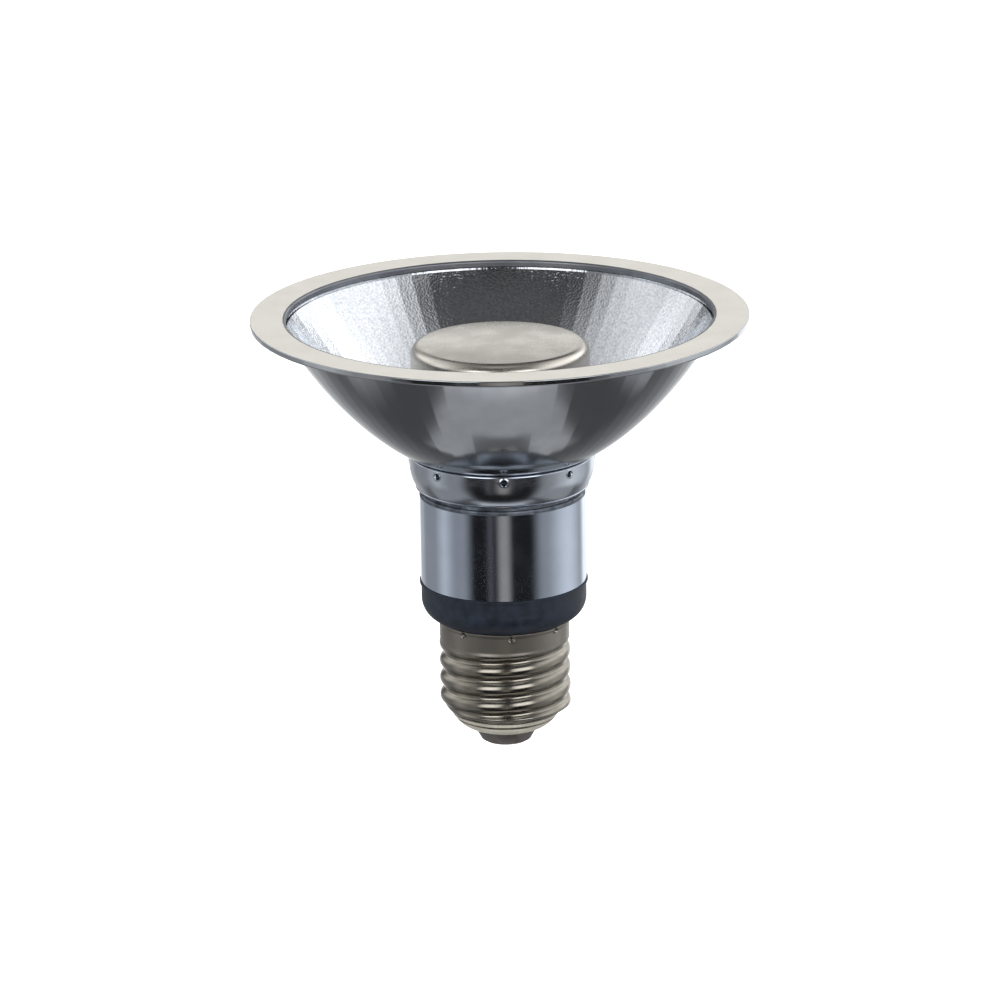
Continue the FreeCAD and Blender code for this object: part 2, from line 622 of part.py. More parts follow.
# Screw shell: thin sheet rolled into a knuckle thread, punched into the housing's neck
def screw_shell():
    outside = shell_surface("shell_outside", "0", "shell_bottom_height")
    inside = shell_surface("shell_inside", "shell_sheet", "(shell_bottom_height + shell_sheet)")
    opening = cylinder("shell_opening", "shell_opening_radius", "shell_sheet * 3")
    move(opening, z="shell_bottom_height - shell_sheet")
    marks = []
    for index in range(PUNCH_MARKS):
        mark = make("Part::Cone", f"punch_mark_{index}", Radius1="punch_radius / 3",
                    Radius2="punch_radius", Height="2 * punch_depth")
        facing = Rotation(Vector(0, 1, 0), 90)
        angle = FRONT + PUNCH_TURN + index * 360 / PUNCH_MARKS
        marks.append(around(mark, angle, "shell_skirt_radius - punch_depth", "punch_height", turn=facing))
    return cut("screw_shell", outside, inside, opening, *marks)


# Base insulator: dark glass between the shell and the contact
def base_insulator():
    waist = "(shell_opening_radius - fit_clearance)"
    lip_height = "(shell_bottom_height + 3 * shell_sheet)"
    flange_rise = "(insulator_flange_bottom - shell_bottom_height)"
    spread = "(thread_mean_radius - shoulder_step - shell_opening_radius)"
    slope = f"({spread} / (shoulder_top_height - shell_bottom_height))"
    flange_radius = f"(shell_opening_radius + {flange_rise} * {slope} - 3 * fit_clearance)"
    bore = "(rivet_radius + fit_clearance / 2)"
    return turned("base_insulator", (
        (bore, "contact_thickness"),
        ("insulator_tip_radius", "contact_thickness"),
        (waist, "shell_bottom_height - fit_clearance"),
        (waist, lip_height),
        (flange_radius, "insulator_flange_bottom"),
        (flange_radius, "insulator_top_height"),
        (bore, "insulator_top_height"),
    ))


# Centre contact: disc with a hollow rivet through the insulator
def centre_contact():
    bore = "(lead_radius + fit_clearance / 2)"
    return turned("centre_contact", (
        ("0", "0"),
        ("contact_radius - contact_thickness / 2", "0", "contact_thickness / 2", 1),
        ("contact_radius", "contact_thickness / 2", "contact_thickness / 2", 1),
        ("contact_radius - contact_thickness / 2", "contact_thickness"),
        ("rivet_radius", "contact_thickness"),
        ("rivet_radius", "insulator_top_height"),
        (bore, "insulator_top_height"),
        (bore, "contact_thickness"),
        ("0", "contact_thickness"),
    ))


# Glare cap: pressed cup over the light source, with a low crown
def glare_cap():
    crown_edge = "(cap_top_height - cap_crown_rise)"
    crown_radius = "(cap_radius - cap_shoulder_rounding)"
    crown_curve = f"(({crown_radius} ^ 2 + cap_crown_rise ^ 2) / (2 * cap_crown_rise))"
    inner_rounding = "(cap_shoulder_rounding - cap_wall)"
    return turned("glare_cap", (
        ("cap_inside", "cap_bottom_height"),
        ("cap_radius", "cap_bottom_height"),
        ("cap_radius", f"{crown_edge} - cap_shoulder_rounding", "cap_shoulder_rounding", 1),
        (crown_radius, crown_edge, crown_curve, 1),
        ("0", "cap_top_height"),
        ("0", "cap_inside_top"),
        (f"cap_inside - {inner_rounding}", "cap_inside_top", inner_rounding, -1),
        ("cap_inside", f"cap_inside_top - {inner_rounding}"),
    ))


# Cap stud: welded under the cap and screwed into the post
def cap_stud():
    return move(cylinder("cap_stud", "stud_radius", "stud_length"), z="cap_inside_top - stud_length")


# Lamp post: six-sided column on a round foot, bored for the leads
def led_post():
    foot = cylinder("post_foot", "post_foot_radius", "post_flange_thickness")
    move(foot, z="bowl_floor_top")
    column = make("Part::Prism", "post_column", Height="cap_inside_top - bowl_floor_top",
                  Circumradius=f"post_flat_radius / cos({180 / POST_FLATS})")
    column.Polygon = POST_FLATS
    move(column, z="bowl_floor_top", turn=Rotation(Vector(0, 0, 1), 180 / POST_FLATS))
    bore = cylinder("post_bore", "lead_passage_radius", "post_bore_depth + post_flange_thickness")
    move(bore, z="bowl_floor_top - post_flange_thickness")
    exits = cylinder("post_lead_exits", "lead_radius + 3 * fit_clearance", "4 * post_flat_radius")
    move(exits, "-2 * post_flat_radius", z="lead_exit_height", turn=Rotation(Vector(0, 1, 0), 90))
    stud_hole = cylinder("post_stud_hole", "stud_radius + fit_clearance / 2", "2 * stud_length")
    move(stud_hole, z="cap_inside_top - stud_length - fit_clearance")
    tools = [bore, exits, stud_hole]
    for index in range(POST_SCREWS):
        hole = cylinder(f"post_screw_hole_{index}", "screw_radius + fit_clearance / 2",
                        "2 * screw_grip + fit_clearance")
        tools.append(around(hole, screw_angle(index), "post_screw_circle", "bowl_floor_top - screw_grip"))
    return cut("led_post", fuse("post_blank", foot, column), *tools)


# Post screws: three alike, up through the three floors into the post
def post_screws():
    screws = []
    for index in range(POST_SCREWS):
        shank = cylinder(f"screw_shank_{index}", "screw_radius",
                         "bowl_floor_top + screw_grip - fit_clearance - can_top_inside")
        around(shank, screw_angle(index), "post_screw_circle", "can_top_inside")
        head = cylinder(f"screw_head_{index}", "screw_head_radius", "screw_head_height")
        around(head, screw_angle(index), "post_screw_circle", "can_top_inside - screw_head_height")
        socket = make("Part::Prism", f"screw_socket_{index}", Circumradius="screw_socket_radius",
                      Height="screw_head_height")
        socket.Polygon = 6
        around(socket, screw_angle(index), "post_screw_circle", "can_top_inside - 1.5 * screw_head_height")
        screws.append(cut(f"screw_{index}", fuse(f"screw_blank_{index}", shank, head), socket))
    group = document.addObject("Part::Compound", "post_screws")
    group.Links = screws
    return group


# Diffuser ring: opal tube round the light boards, from the post's foot into the cap
def diffuser_ring():
    height = "(cap_bottom_height + diffuser_overlap - post_foot_top)"
    outside = move(cylinder("diffuser_outside", "post_foot_radius", height), z="post_foot_top")
    inside = cylinder("diffuser_inside", "post_foot_radius - diffuser_wall", f"{height} * 2")
    move(inside, z=f"post_foot_top - {height} / 2")
    return cut("diffuser_ring", outside, inside)


# Light boards and their sources, one board on each flat of the post
def light_boards():
    pieces = []
    for index in range(POST_FLATS):
        angle = index * 360 / POST_FLATS
        board = box(f"led_board_{index + 1}", "led_board_thickness", "led_board_width", "led_board_height")
        pieces.append(around(board, angle, "post_flat_radius", "led_board_bottom", "-led_board_width / 2"))
        for place in range(LEDS_PER_BOARD):
            source = box(f"led_{LEDS_PER_BOARD * index + place + 1}", "led_thickness", "led_size", "led_size")
            around(source, angle, "post_flat_radius + led_board_thickness",
                   f"led_board_bottom + led_first_offset + {place} * led_spacing", "-led_size / 2")
            pieces.append(source)
    return pieces


# Driver board: wide in the sleeve, with a narrow tail down the neck
def driver_board():
    reach = "(sleeve_inside + board_slot_depth - fit_clearance)"
    head = box("board_head", f"2 * {reach}", "board_thickness", "board_top_height - sleeve_floor_height")
    move(head, f"-{reach}", "board_front", "sleeve_floor_height")
    tail = box("board_tail", "board_tail_width", "board_thickness", "board_top_height - board_tail_bottom")
    move(tail, "-board_tail_width / 2", "board_front", "board_tail_bottom")
    return fuse("driver_board", head, tail)


def electrolytic_capacitor():
    can = turned("capacitor_can", (
        ("0", "0"),
        ("capacitor_radius - capacitor_rounding", "0", "capacitor_rounding", 1),
        ("capacitor_radius", "capacitor_rounding"),
        ("capacitor_radius", "capacitor_length - capacitor_rounding", "capacitor_rounding", 1),
        ("capacitor_radius - capacitor_rounding", "capacitor_length"),
        ("0", "capacitor_length"),
    ))
    can.Label = "electrolytic_capacitor"
    return move(can, y="board_front - capacitor_radius - fit_clearance", z="capacitor_bottom")


# Transformer: ferrite core with two windows, and the winding on its middle leg
def transformer():
    window_height = "(core_height - 2 * core_yoke)"
    window_width = "((core_width - core_leg) / 2 - core_yoke)"
    core_front = "(board_front - (winding_depth + core_depth) / 2)"
    block = move(box("core_block", "core_width", "core_depth", "core_height"),
                 "-core_width / 2", core_front, "core_bottom")
    windows = []
    for index, left in enumerate((f"-core_leg / 2 - {window_width}", "core_leg / 2")):
        window = box(f"core_window_{index}", window_width, "2 * core_depth", window_height)
        windows.append(move(window, left, f"{core_front} - core_depth / 2", "core_bottom + core_yoke"))
    core = cut("transformer_core", block, *windows)
    side = f"({window_width} - fit_clearance)"
    coil = box("winding_block", f"core_leg + 2 * {side}", "winding_depth",
               f"{window_height} - 2 * fit_clearance")
    move(coil, f"-core_leg / 2 - {side}", "board_front - winding_depth",
         "core_bottom + core_yoke + fit_clearance")
    hole = box("winding_hole", "core_leg + fit_clearance", "core_depth + fit_clearance", "core_height")
    move(hole, "-(core_leg + fit_clearance) / 2", f"{core_front} - fit_clearance / 2", "core_bottom")
    return core, cut("transformer_winding", coil, hole)


def film_capacitor():
    block = box("film_capacitor", "film_width", "film_depth", "film_height")
    return move(block, "-film_side - film_width", "board_back", "film_bottom")


# Choke: drum core with its winding between two plates, lying across the board
def choke():
    drum = turned("choke_drum", (
        ("0", "0"),
        ("choke_radius", "0"),
        ("choke_radius", "choke_plate"),
        ("choke_waist", "choke_plate"),
        ("choke_waist", "choke_length - choke_plate"),
        ("choke_radius", "choke_length - choke_plate"),
        ("choke_radius", "choke_length"),
        ("0", "choke_length"),
    ))
    drum.Label = "choke"
    return move(drum, "choke_side", "board_back", "choke_height", Rotation(Vector(1, 0, 0), -90))


def rectifier_bridge():
    block = box("rectifier_bridge", "rectifier_width", "rectifier_depth", "rectifier_height")
    return move(block, "-rectifier_width / 2", "board_back", "rectifier_bottom")


def fuse_resistor():
    rod = cylinder("fuse_resistor", "fuse_radius", "fuse_length")
    return move(rod, "fuse_side", "board_back + fuse_radius", "fuse_bottom")


def controller_chip():
    block = box("controller_chip", "chip_width", "chip_depth", "chip_height")
    return move(block, "-film_side - (film_width + chip_width) / 2", "board_back", "chip_bottom")


# Leads: all lie in the plane of the axis, against the back of the driver board
def leads():
    bend = number("lead_bend")
    spread = number("lead_spread")
    pad = number("post_flat_radius + led_board_thickness + lead_radius")
    exit_height = number("lead_exit_height")
    pieces = []
    for name, side in (("led_lead_positive", 1), ("led_lead_negative", -1)):
        pieces.append(lead(name, (
            Vector(side * spread, 0, number("lamp_solder_height")),
            Vector(side * spread, 0, exit_height),
            Vector(side * pad, 0, exit_height),
            Vector(side * pad, 0, number("lead_pad_height")),
        ), bend))
    live = cylinder("live_lead", "lead_radius", "tail_solder_height - contact_thickness - live_lead_rise")
    pieces.append(move(live, z="contact_thickness + live_lead_rise"))
    wall = number("thread_mean_radius - shell_sheet - 2 * fit_clearance")
    pieces.append(lead("neutral_lead", (
        Vector(-number("neutral_side"), 0, number("tail_solder_height")),
        Vector(-number("neutral_side"), 0, number("thread_crest_height")),
        Vector(-wall, 0, number("thread_crest_height")),
    ), bend))
    return pieces


pieces = [
    reflector_bowl(),
    collar_ring(),
    housing_can(),
    driver_housing(),
    driver_cover(),
    screw_shell(),
    base_insulator(),
    centre_contact(),
    glare_cap(),
    cap_stud(),
    led_post(),
    post_screws(),
    diffuser_ring(),
    *light_boards(),
    driver_board(),
    electrolytic_capacitor(),
    *transformer(),
    film_capacitor(),
    choke(),
    rectifier_bridge(),
    fuse_resistor(),
    controller_chip(),
    *leads(),
]
document.recompute()

for item in document.Objects:
    faults = {"Invalid", "Error"} & set(item.State)
    if faults:
        raise RuntimeError(f"{item.Name} is {faults}")
os.makedirs("parts", exist_ok=True)
for piece in pieces:
    if piece.Shape.isNull() or not piece.Shape.isValid():
        raise RuntimeError(f"{piece.Label} has no valid shape")
for piece in pieces:
    piece.Shape.exportStep(f"parts/{piece.Label}.step")
    print(piece.Label, len(piece.Shape.Solids), round(piece.Shape.Volume, 2))
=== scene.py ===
"""The looks of a reflector spot lamp: its visible pieces, their finishes, the studio and the camera.

Sizes are in millimetres and become metres in the meshes. The lamp's axis is Z, heights are
measured from its contact up, and its front is the -Y side, towards the camera.
"""
from __future__ import annotations

import logging
import math
from collections.abc import Callable, Iterable, Sequence
from dataclasses import dataclass
from enum import Enum
from typing import NamedTuple

import bmesh
import bpy
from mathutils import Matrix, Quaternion, Vector, noise


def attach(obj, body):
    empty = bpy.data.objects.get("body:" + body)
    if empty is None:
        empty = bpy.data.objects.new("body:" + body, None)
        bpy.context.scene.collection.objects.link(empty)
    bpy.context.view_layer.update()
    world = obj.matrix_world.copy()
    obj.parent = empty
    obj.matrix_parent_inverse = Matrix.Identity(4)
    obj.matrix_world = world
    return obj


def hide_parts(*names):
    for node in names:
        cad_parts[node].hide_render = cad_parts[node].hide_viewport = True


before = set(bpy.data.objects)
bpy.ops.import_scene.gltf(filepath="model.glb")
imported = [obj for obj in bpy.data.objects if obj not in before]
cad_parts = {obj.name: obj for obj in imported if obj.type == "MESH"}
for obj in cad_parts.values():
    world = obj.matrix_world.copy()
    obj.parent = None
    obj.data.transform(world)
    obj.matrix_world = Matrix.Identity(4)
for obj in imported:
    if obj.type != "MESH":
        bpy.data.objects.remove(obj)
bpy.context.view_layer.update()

LOG = logging.getLogger("spot_lamp")
LAMP_BODY = "root"

# A millimetre in metres
MM = 0.001
# Direction of the lamp's front in degrees from +X, and the height of its middle
FRONT = -90.0
MIDDLE_HEIGHT = 50.0
# Points of a mesh nearer than this become one, and sizes nearer than that count as equal
WELD = 0.001
NEAR = 0.01
# Faces that meet at more than this many degrees show an edge
SHARP_EDGE = 38.0
# Close columns of a mesh from a mark's middle to its edge, and to where they end
MARK_COLUMNS = 5
MARK_REACH = 8

# Places of a mix node's sockets when it mixes colours
MIX_FACTOR = 0
MIX_FIRST = 6
MIX_SECOND = 7
MIX_RESULT = 2

Point3 = tuple[float, float, float]
Source = bpy.types.Node | bpy.types.NodeSocket


def linear(colour: str) -> tuple[float, float, float, float]:
    """Turns an sRGB hex colour to the linear values that a shader takes.

    Args:
        colour: The colour as "#rrggbb".

    Returns:
        Red, green, blue and an alpha of one.
    """
    parts = [int(colour[place:place + 2], 16) / 255 for place in (1, 3, 5)]
    red, green, blue = (p / 12.92 if p <= 0.04045 else ((p + 0.055) / 1.055) ** 2.4 for p in parts)
    return red, green, blue, 1.0


def add_node(
    tree: bpy.types.NodeTree,
    kind: str,
    inputs: dict[str | int, object] | None = None,
    **settings: object,
) -> bpy.types.Node:
    """Adds a node with its settings, and feeds its inputs.

    Args:
        tree: The tree that the node goes into.
        kind: The shader node's type, such as Math.
        inputs: For each input, by name or place, its value, the output that feeds it or the node
            whose first output does.
        **settings: The node's own properties.

    Returns:
        The new node.
    """
    node = tree.nodes.new(f"ShaderNode{kind}")
    for name, value in settings.items():
        setattr(node, name, value)
    for key, value in (inputs or {}).items():
        if isinstance(value, bpy.types.Node):
            tree.links.new(value.outputs[0], node.inputs[key])
        elif isinstance(value, bpy.types.NodeSocket):
            tree.links.new(value, node.inputs[key])
        else:
            node.inputs[key].default_value = value
    return node


class Pattern(Enum):
    """How a surface was worked, which sets the run of its grain."""

    TURNED = "rings round the axis"
    DRAWN = "fine lines along the axis"
    HAMMERED = "small soft dimples"
    FINE = "even grain"


@dataclass(frozen=True)
class Grain:
    """The relief that a way of making leaves on a surface.

    Attributes:
        pattern: How the surface was worked.
        size: Spacing of the grain in millimetres.
        depth: Depth of the grain in millimetres.
    """

    pattern: Pattern
    size: float
    depth: float

    # How much slower the grain changes along a ring or line than across it
    STRETCH = 0.02
    # The noise's own roughness, and its octaves: none where the dimples are soft
    ROUGHNESS = 0.6
    OCTAVES = 2.0

    def height(self, tree: bpy.types.NodeTree, place: Source) -> Source:
        """Adds the grain's texture.

        Args:
            tree: The material's tree.
            place: The point on the piece, in metres.

        Returns:
            The relief, from zero to one.
        """
        per_metre = 1 / (self.size * MM)
        if self.pattern is Pattern.TURNED:
            parts = add_node(tree, "SeparateXYZ", {"Vector": place}).outputs
            flat = add_node(tree, "CombineXYZ", {"X": parts["X"], "Y": parts["Y"]})
            out = add_node(tree, "VectorMath", {0: flat}, operation="LENGTH")
            along = add_node(tree, "Math", {0: out.outputs["Value"], 1: parts["Z"]}, operation="ADD")
            spread = add_node(tree, "Math", {0: parts["X"], 1: self.STRETCH}, operation="MULTIPLY")
            place = add_node(tree, "CombineXYZ", {"X": along, "Y": spread})
        upright = self.STRETCH if self.pattern is Pattern.DRAWN else 1.0
        scaled = add_node(tree, "Mapping",
                          {"Vector": place, "Scale": (per_metre, per_metre, upright * per_metre)})
        return add_node(tree, "TexNoise",
                        {"Vector": scaled, "Scale": 1.0, "Roughness": self.ROUGHNESS,
                         "Detail": 0.0 if self.pattern is Pattern.HAMMERED else self.OCTAVES})


@dataclass(frozen=True)
class Finish:
    """One real finish: its material, how it was made and what the eye sees of it.

    Attributes:
        name: The material's name.
        colour: Its colour in sRGB hex.
        worn: The colour that it drifts to in patches, in sRGB hex.
        roughness: Roughness of the surface.
        grain: The relief left by how it was made.
        drift: Size of the patches in millimetres.
        unevenness: How much the roughness varies from patch to patch.
        metallic: One for bare metal, less where lacquer or tin covers it.
        ior: Refractive index, for what isn't metal.
        coat: Weight of a clear layer on top.
        coat_roughness: Roughness of that layer.
        glow: Share of light that passes through below the surface.
    """

    name: str
    colour: str
    worn: str
    roughness: float
    grain: Grain
    drift: float = 6.0
    unevenness: float = 0.04
    metallic: float = 0.0
    ior: float = 1.5
    coat: float = 0.0
    coat_roughness: float = 0.1
    glow: float = 0.0

    # Octaves of the patches' noise, and the values between which it mostly lies
    OCTAVES = 3.0
    LOW = 0.3
    HIGH = 0.7

    def material(self) -> bpy.types.Material:
        """Builds the material, or finds it if it was built before.

        Returns:
            The material.
        """
        found = bpy.data.materials.get(self.name)
        if found:
            return found
        made = bpy.data.materials.new(self.name)
        made.use_nodes = True
        tree = made.node_tree
        shader = tree.nodes["Principled BSDF"]
        place = add_node(tree, "TexCoord").outputs["Object"]
        patches = add_node(tree, "TexNoise",
                           {"Vector": place, "Scale": 1 / (self.drift * MM), "Detail": self.OCTAVES})
        share = add_node(tree, "MapRange",
                         {"Value": patches, "From Min": self.LOW, "From Max": self.HIGH})
        tint = add_node(tree, "Mix",
                        {MIX_FACTOR: share, MIX_FIRST: linear(self.colour), MIX_SECOND: linear(self.worn)},
                        data_type="RGBA")
        tree.links.new(tint.outputs[MIX_RESULT], shader.inputs["Base Color"])
        polish = add_node(tree, "MapRange",
                          {"Value": share, "To Min": self.roughness - self.unevenness,
                           "To Max": self.roughness + self.unevenness})
        tree.links.new(polish.outputs[0], shader.inputs["Roughness"])
        relief = add_node(tree, "Bump",
                          {"Height": self.grain.height(tree, place), "Distance": self.grain.depth * MM})
        tree.links.new(relief.outputs[0], shader.inputs["Normal"])
        shader.inputs["Metallic"].default_value = self.metallic
        if not self.metallic:
            shader.inputs["IOR"].default_value = self.ior
        shader.inputs["Coat Weight"].default_value = self.coat
        shader.inputs["Coat Roughness"].default_value = self.coat_roughness
        if self.glow:
            shader.inputs["Subsurface Weight"].default_value = self.glow
            shader.inputs["Subsurface Scale"].default_value = MM
        return made


# Lathe rings, drawing lines, blast pits and moulding grain are under 0.1 mm apart on the real lamp,
# too fine to show at 5 pixels to the millimetre, so they are drawn up to 0.5 mm apart. The hammered
# grain of the flutes has its real size.

# Spun aluminium, polished on the lathe: a clear mirror with faint rings
SPUN_OUTSIDE = Finish("spun_aluminium_outside", "#c2c7cd", "#b7bcc4", 0.13,
                      Grain(Pattern.TURNED, 0.35, 0.0006), metallic=1.0, unevenness=0.03)
# Pressed flutes with a hammered grain: broken, sparkling reflections
HAMMERED_FLUTES = Finish("hammered_aluminium_flutes", "#e6e9ed", "#c2c7ce", 0.12,
                         Grain(Pattern.HAMMERED, 0.42, 0.03), metallic=1.0, drift=0.5)
# The mouth's lip, cut on the lathe and left dull, with painted shade in its darker grey: a grey line
# between the cream and the flutes
DULL_LIP_PAINTED_SHADE = Finish("dull_lip_painted_shade", "#8f9298", "#7f8288", 0.42,
                   Grain(Pattern.TURNED, 0.3, 0.001), metallic=1.0)
# The rim's top face, etched and lacquered: an even cream satin
SATIN_RIM = Finish("lacquered_aluminium_rim", "#dedbd2", "#d9d6cc", 0.4,
                   Grain(Pattern.FINE, 0.25, 0.001), metallic=0.1, coat=0.1, coat_roughness=0.3)
# Deep-drawn aluminium, buffed to a cool mirror: long soft bands
DRAWN_CAN = Finish("polished_drawn_aluminium", "#c7d2e3", "#bfcadb", 0.12,
                   Grain(Pattern.TURNED, 0.5, 0.0005), metallic=1.0, unevenness=0.03)
# The collar is drawn from the same sheet and handled more: a little duller
COLLAR_METAL = Finish("drawn_collar_aluminium", "#c3cad5", "#b5bdc9", 0.17,
                      Grain(Pattern.TURNED, 0.3, 0.001), metallic=1.0)
# Painted shade in the stake marks' holes and in the groove under the mouth: a dark, dull aluminium in a
# hole or line
PAINTED_SHADE_METAL = Finish("painted_shade_aluminium", "#2c3036", "#3a3f47", 0.35,
                    Grain(Pattern.FINE, 0.15, 0.01), metallic=1.0)
# The can's neck where the rolling tool bit it: duller, with small bright nicks, and darker with painted
# shade under the collar's foot
NICKED_NECK_PAINTED_SHADE = Finish("nicked_neck_painted_shade", "#858c97", "#474c54", 0.5,
                     Grain(Pattern.FINE, 0.5, 0.004), metallic=1.0, drift=3.0)
# Pressed aluminium, bead-blasted: warm satin that holds no clear picture
BLASTED_CAP = Finish("blasted_aluminium_cap", "#e0dbd3", "#dad5cc", 0.28,
                     Grain(Pattern.FINE, 0.3, 0.0015), metallic=1.0)
# Nickel plate on rolled brass: warm grey, bright on the crests
NICKEL_PLATE = Finish("nickel_plated_thread", "#99948c", "#8d8980", 0.2,
                      Grain(Pattern.TURNED, 0.4, 0.0008), metallic=1.0, drift=3.0, unevenness=0.03)
# The same plate above the thread, left matt by the tool that seated it, and a little darker with painted
# shade: an even pewter grey
MATT_SKIRT_PAINTED_SHADE = Finish("matt_skirt_painted_shade", "#8f8b85", "#86827c", 0.36,
                      Grain(Pattern.FINE, 0.3, 0.001), metallic=1.0, drift=3.0, unevenness=0.03)
# Painted light on the closing shoulder, half metal: cream, soft and pale, for the light that it takes from
# below
SHOULDER_PAINTED_LIGHT = Finish("shoulder_painted_light", "#ece7d9", "#e2dccd", 0.3,
                         Grain(Pattern.TURNED, 0.5, 0.001), metallic=0.5, drift=2.5)
# Glass-filled nylon, moulded with a fine eroded grain: matt navy black
RING_NYLON = Finish("moulded_nylon_ring", "#141b26", "#242e3e", 0.5,
                    Grain(Pattern.FINE, 0.35, 0.012), drift=2.2, ior=1.42, unevenness=0.08)
# Dark pressed glass: deep, with a soft gloss and slow ripples
DARK_GLASS = Finish("pressed_dark_glass", "#5c5855", "#4b4846", 0.3,
                    Grain(Pattern.FINE, 0.8, 0.004), drift=2.5, ior=1.52, coat=0.4)
# Tinned brass: soft pale metal with a wiped look
TINNED_BRASS = Finish("tinned_brass_contact", "#cfcabd", "#bfb8a6", 0.28,
                      Grain(Pattern.FINE, 0.4, 0.004), metallic=1.0, drift=1.5)
# Turned aluminium, left from the tool
TURNED_POST = Finish("turned_aluminium_post", "#c8cacc", "#bcbec1", 0.25,
                     Grain(Pattern.TURNED, 0.2, 0.002), metallic=1.0)
# Zinc-plated steel: cool and slightly cloudy
ZINC_STEEL = Finish("zinc_plated_steel", "#b9bcc0", "#a7abb2", 0.3,
                    Grain(Pattern.FINE, 0.2, 0.002), metallic=1.0, drift=1.5)
# Opal acrylic: milky, light goes a little way into it
OPAL_ACRYLIC = Finish("opal_acrylic_diffuser", "#f1f1ec", "#e9e9e3", 0.35,
                      Grain(Pattern.FINE, 0.5, 0.002), ior=1.49, glow=0.3)
# White solder mask over an aluminium board: chalky, even
WHITE_MASK = Finish("white_solder_mask", "#ecece6", "#e2e2dc", 0.4,
                    Grain(Pattern.FINE, 0.15, 0.001), ior=1.5)
# Phosphor under clear silicone: deep yellow with a wet gloss
PHOSPHOR = Finish("phosphor_in_silicone", "#eec437", "#e4b52a", 0.3,
                  Grain(Pattern.FINE, 0.1, 0.002), drift=0.6, ior=1.41, coat=0.8, coat_roughness=0.05)
# Green solder mask: gloss over the faint weave of the glass cloth
GREEN_MASK = Finish("green_solder_mask", "#1c5c33", "#174c2a", 0.32,
                    Grain(Pattern.FINE, 0.45, 0.003), ior=1.5, coat=0.3)
# Shrunk sleeve of a capacitor: dark, tight and glossy
SHRUNK_SLEEVE = Finish("shrunk_dark_sleeve", "#1b1d29", "#232636", 0.25,
                       Grain(Pattern.DRAWN, 0.5, 0.003), ior=1.5, coat=0.3)
# Moulded polyester case: dull mustard
MUSTARD_CASE = Finish("moulded_mustard_case", "#c99a22", "#bd8e1c", 0.5,
                      Grain(Pattern.FINE, 0.3, 0.006), ior=1.55)
# Sintered ferrite: charcoal, dry and slightly pitted
SINTERED_FERRITE = Finish("sintered_ferrite", "#26262a", "#303035", 0.6,
                          Grain(Pattern.FINE, 0.2, 0.012), drift=1.5, ior=1.6)
# Polyester tape round copper wire: glossy yellow film over fine turns
WINDING_TAPE = Finish("winding_tape", "#d9b32a", "#cfa522", 0.28,
                      Grain(Pattern.TURNED, 0.3, 0.01), ior=1.6, coat=0.4)
# Shrunk sleeve on the choke: matt black over the turns of its wire
CHOKE_SLEEVE = Finish("shrunk_choke_sleeve", "#202022", "#29292c", 0.45,
                      Grain(Pattern.DRAWN, 0.4, 0.008), ior=1.5)
# Epoxy moulding of a semiconductor: flat black with a powdery grain
EPOXY_CASE = Finish("moulded_epoxy_case", "#1a1a1b", "#232324", 0.55,
                    Grain(Pattern.FINE, 0.12, 0.005), drift=1.0, ior=1.55)
# Baked lacquer of a resistor: pale blue, softly glossy
BAKED_LACQUER = Finish("baked_blue_lacquer", "#6f9db0", "#6591a4", 0.4,
                       Grain(Pattern.FINE, 0.4, 0.01), drift=1.5, ior=1.5)
# Extruded silicone insulation, one finish for each colour of lead: soft satin
RED_INSULATION, BLACK_INSULATION, BROWN_INSULATION, BLUE_INSULATION = (
    Finish(f"extruded_{shade}_insulation", colour, worn, 0.45, Grain(Pattern.DRAWN, 0.2, 0.002),
           drift=2.0, ior=1.45)
    for shade, colour, worn in (("red", "#a8201d", "#9a1b19"), ("black", "#141415", "#1c1c1d"),
                                ("brown", "#5a3a22", "#50331d"), ("blue", "#1f418c", "#1b397c"))
)


# From a place's radius, height and angle on a turned piece: its shaped radius, and its own finish or none
Shape = Callable[[float, float, float], float]
Repaint = Callable[[float, float, float], Finish | None]


class Side(Enum):
    """The side of travel that an arc's centre lies on."""

    LEFT = 1
    RIGHT = -1


class Corner(NamedTuple):
    """A corner of a half section: its place, the finish of the stretch before it and its rounding."""

    radius: float
    height: float
    finish: Finish
    rounding: float = 0.0


class Rows(NamedTuple):
    """Two heights between which the rows of a mesh stand closer, and their spacing."""

    low: float
    high: float
    spacing: float


def arc_centre(first: Vector, last: Vector, curve: float, side: Side) -> Vector:
    """Finds the centre of the arc between two points of a section.

    Args:
        first: Where the arc starts.
        last: Where it ends.
        curve: Its radius.
        side: The side of travel that the centre lies on.

    Returns:
        The centre's radius and height.
    """
    chord = last - first
    left = Vector((-chord.y, chord.x)).normalized()
    rise = math.sqrt(max(curve ** 2 - (chord.length / 2) ** 2, 0.0))
    return (first + last) / 2 + left * (side.value * rise)


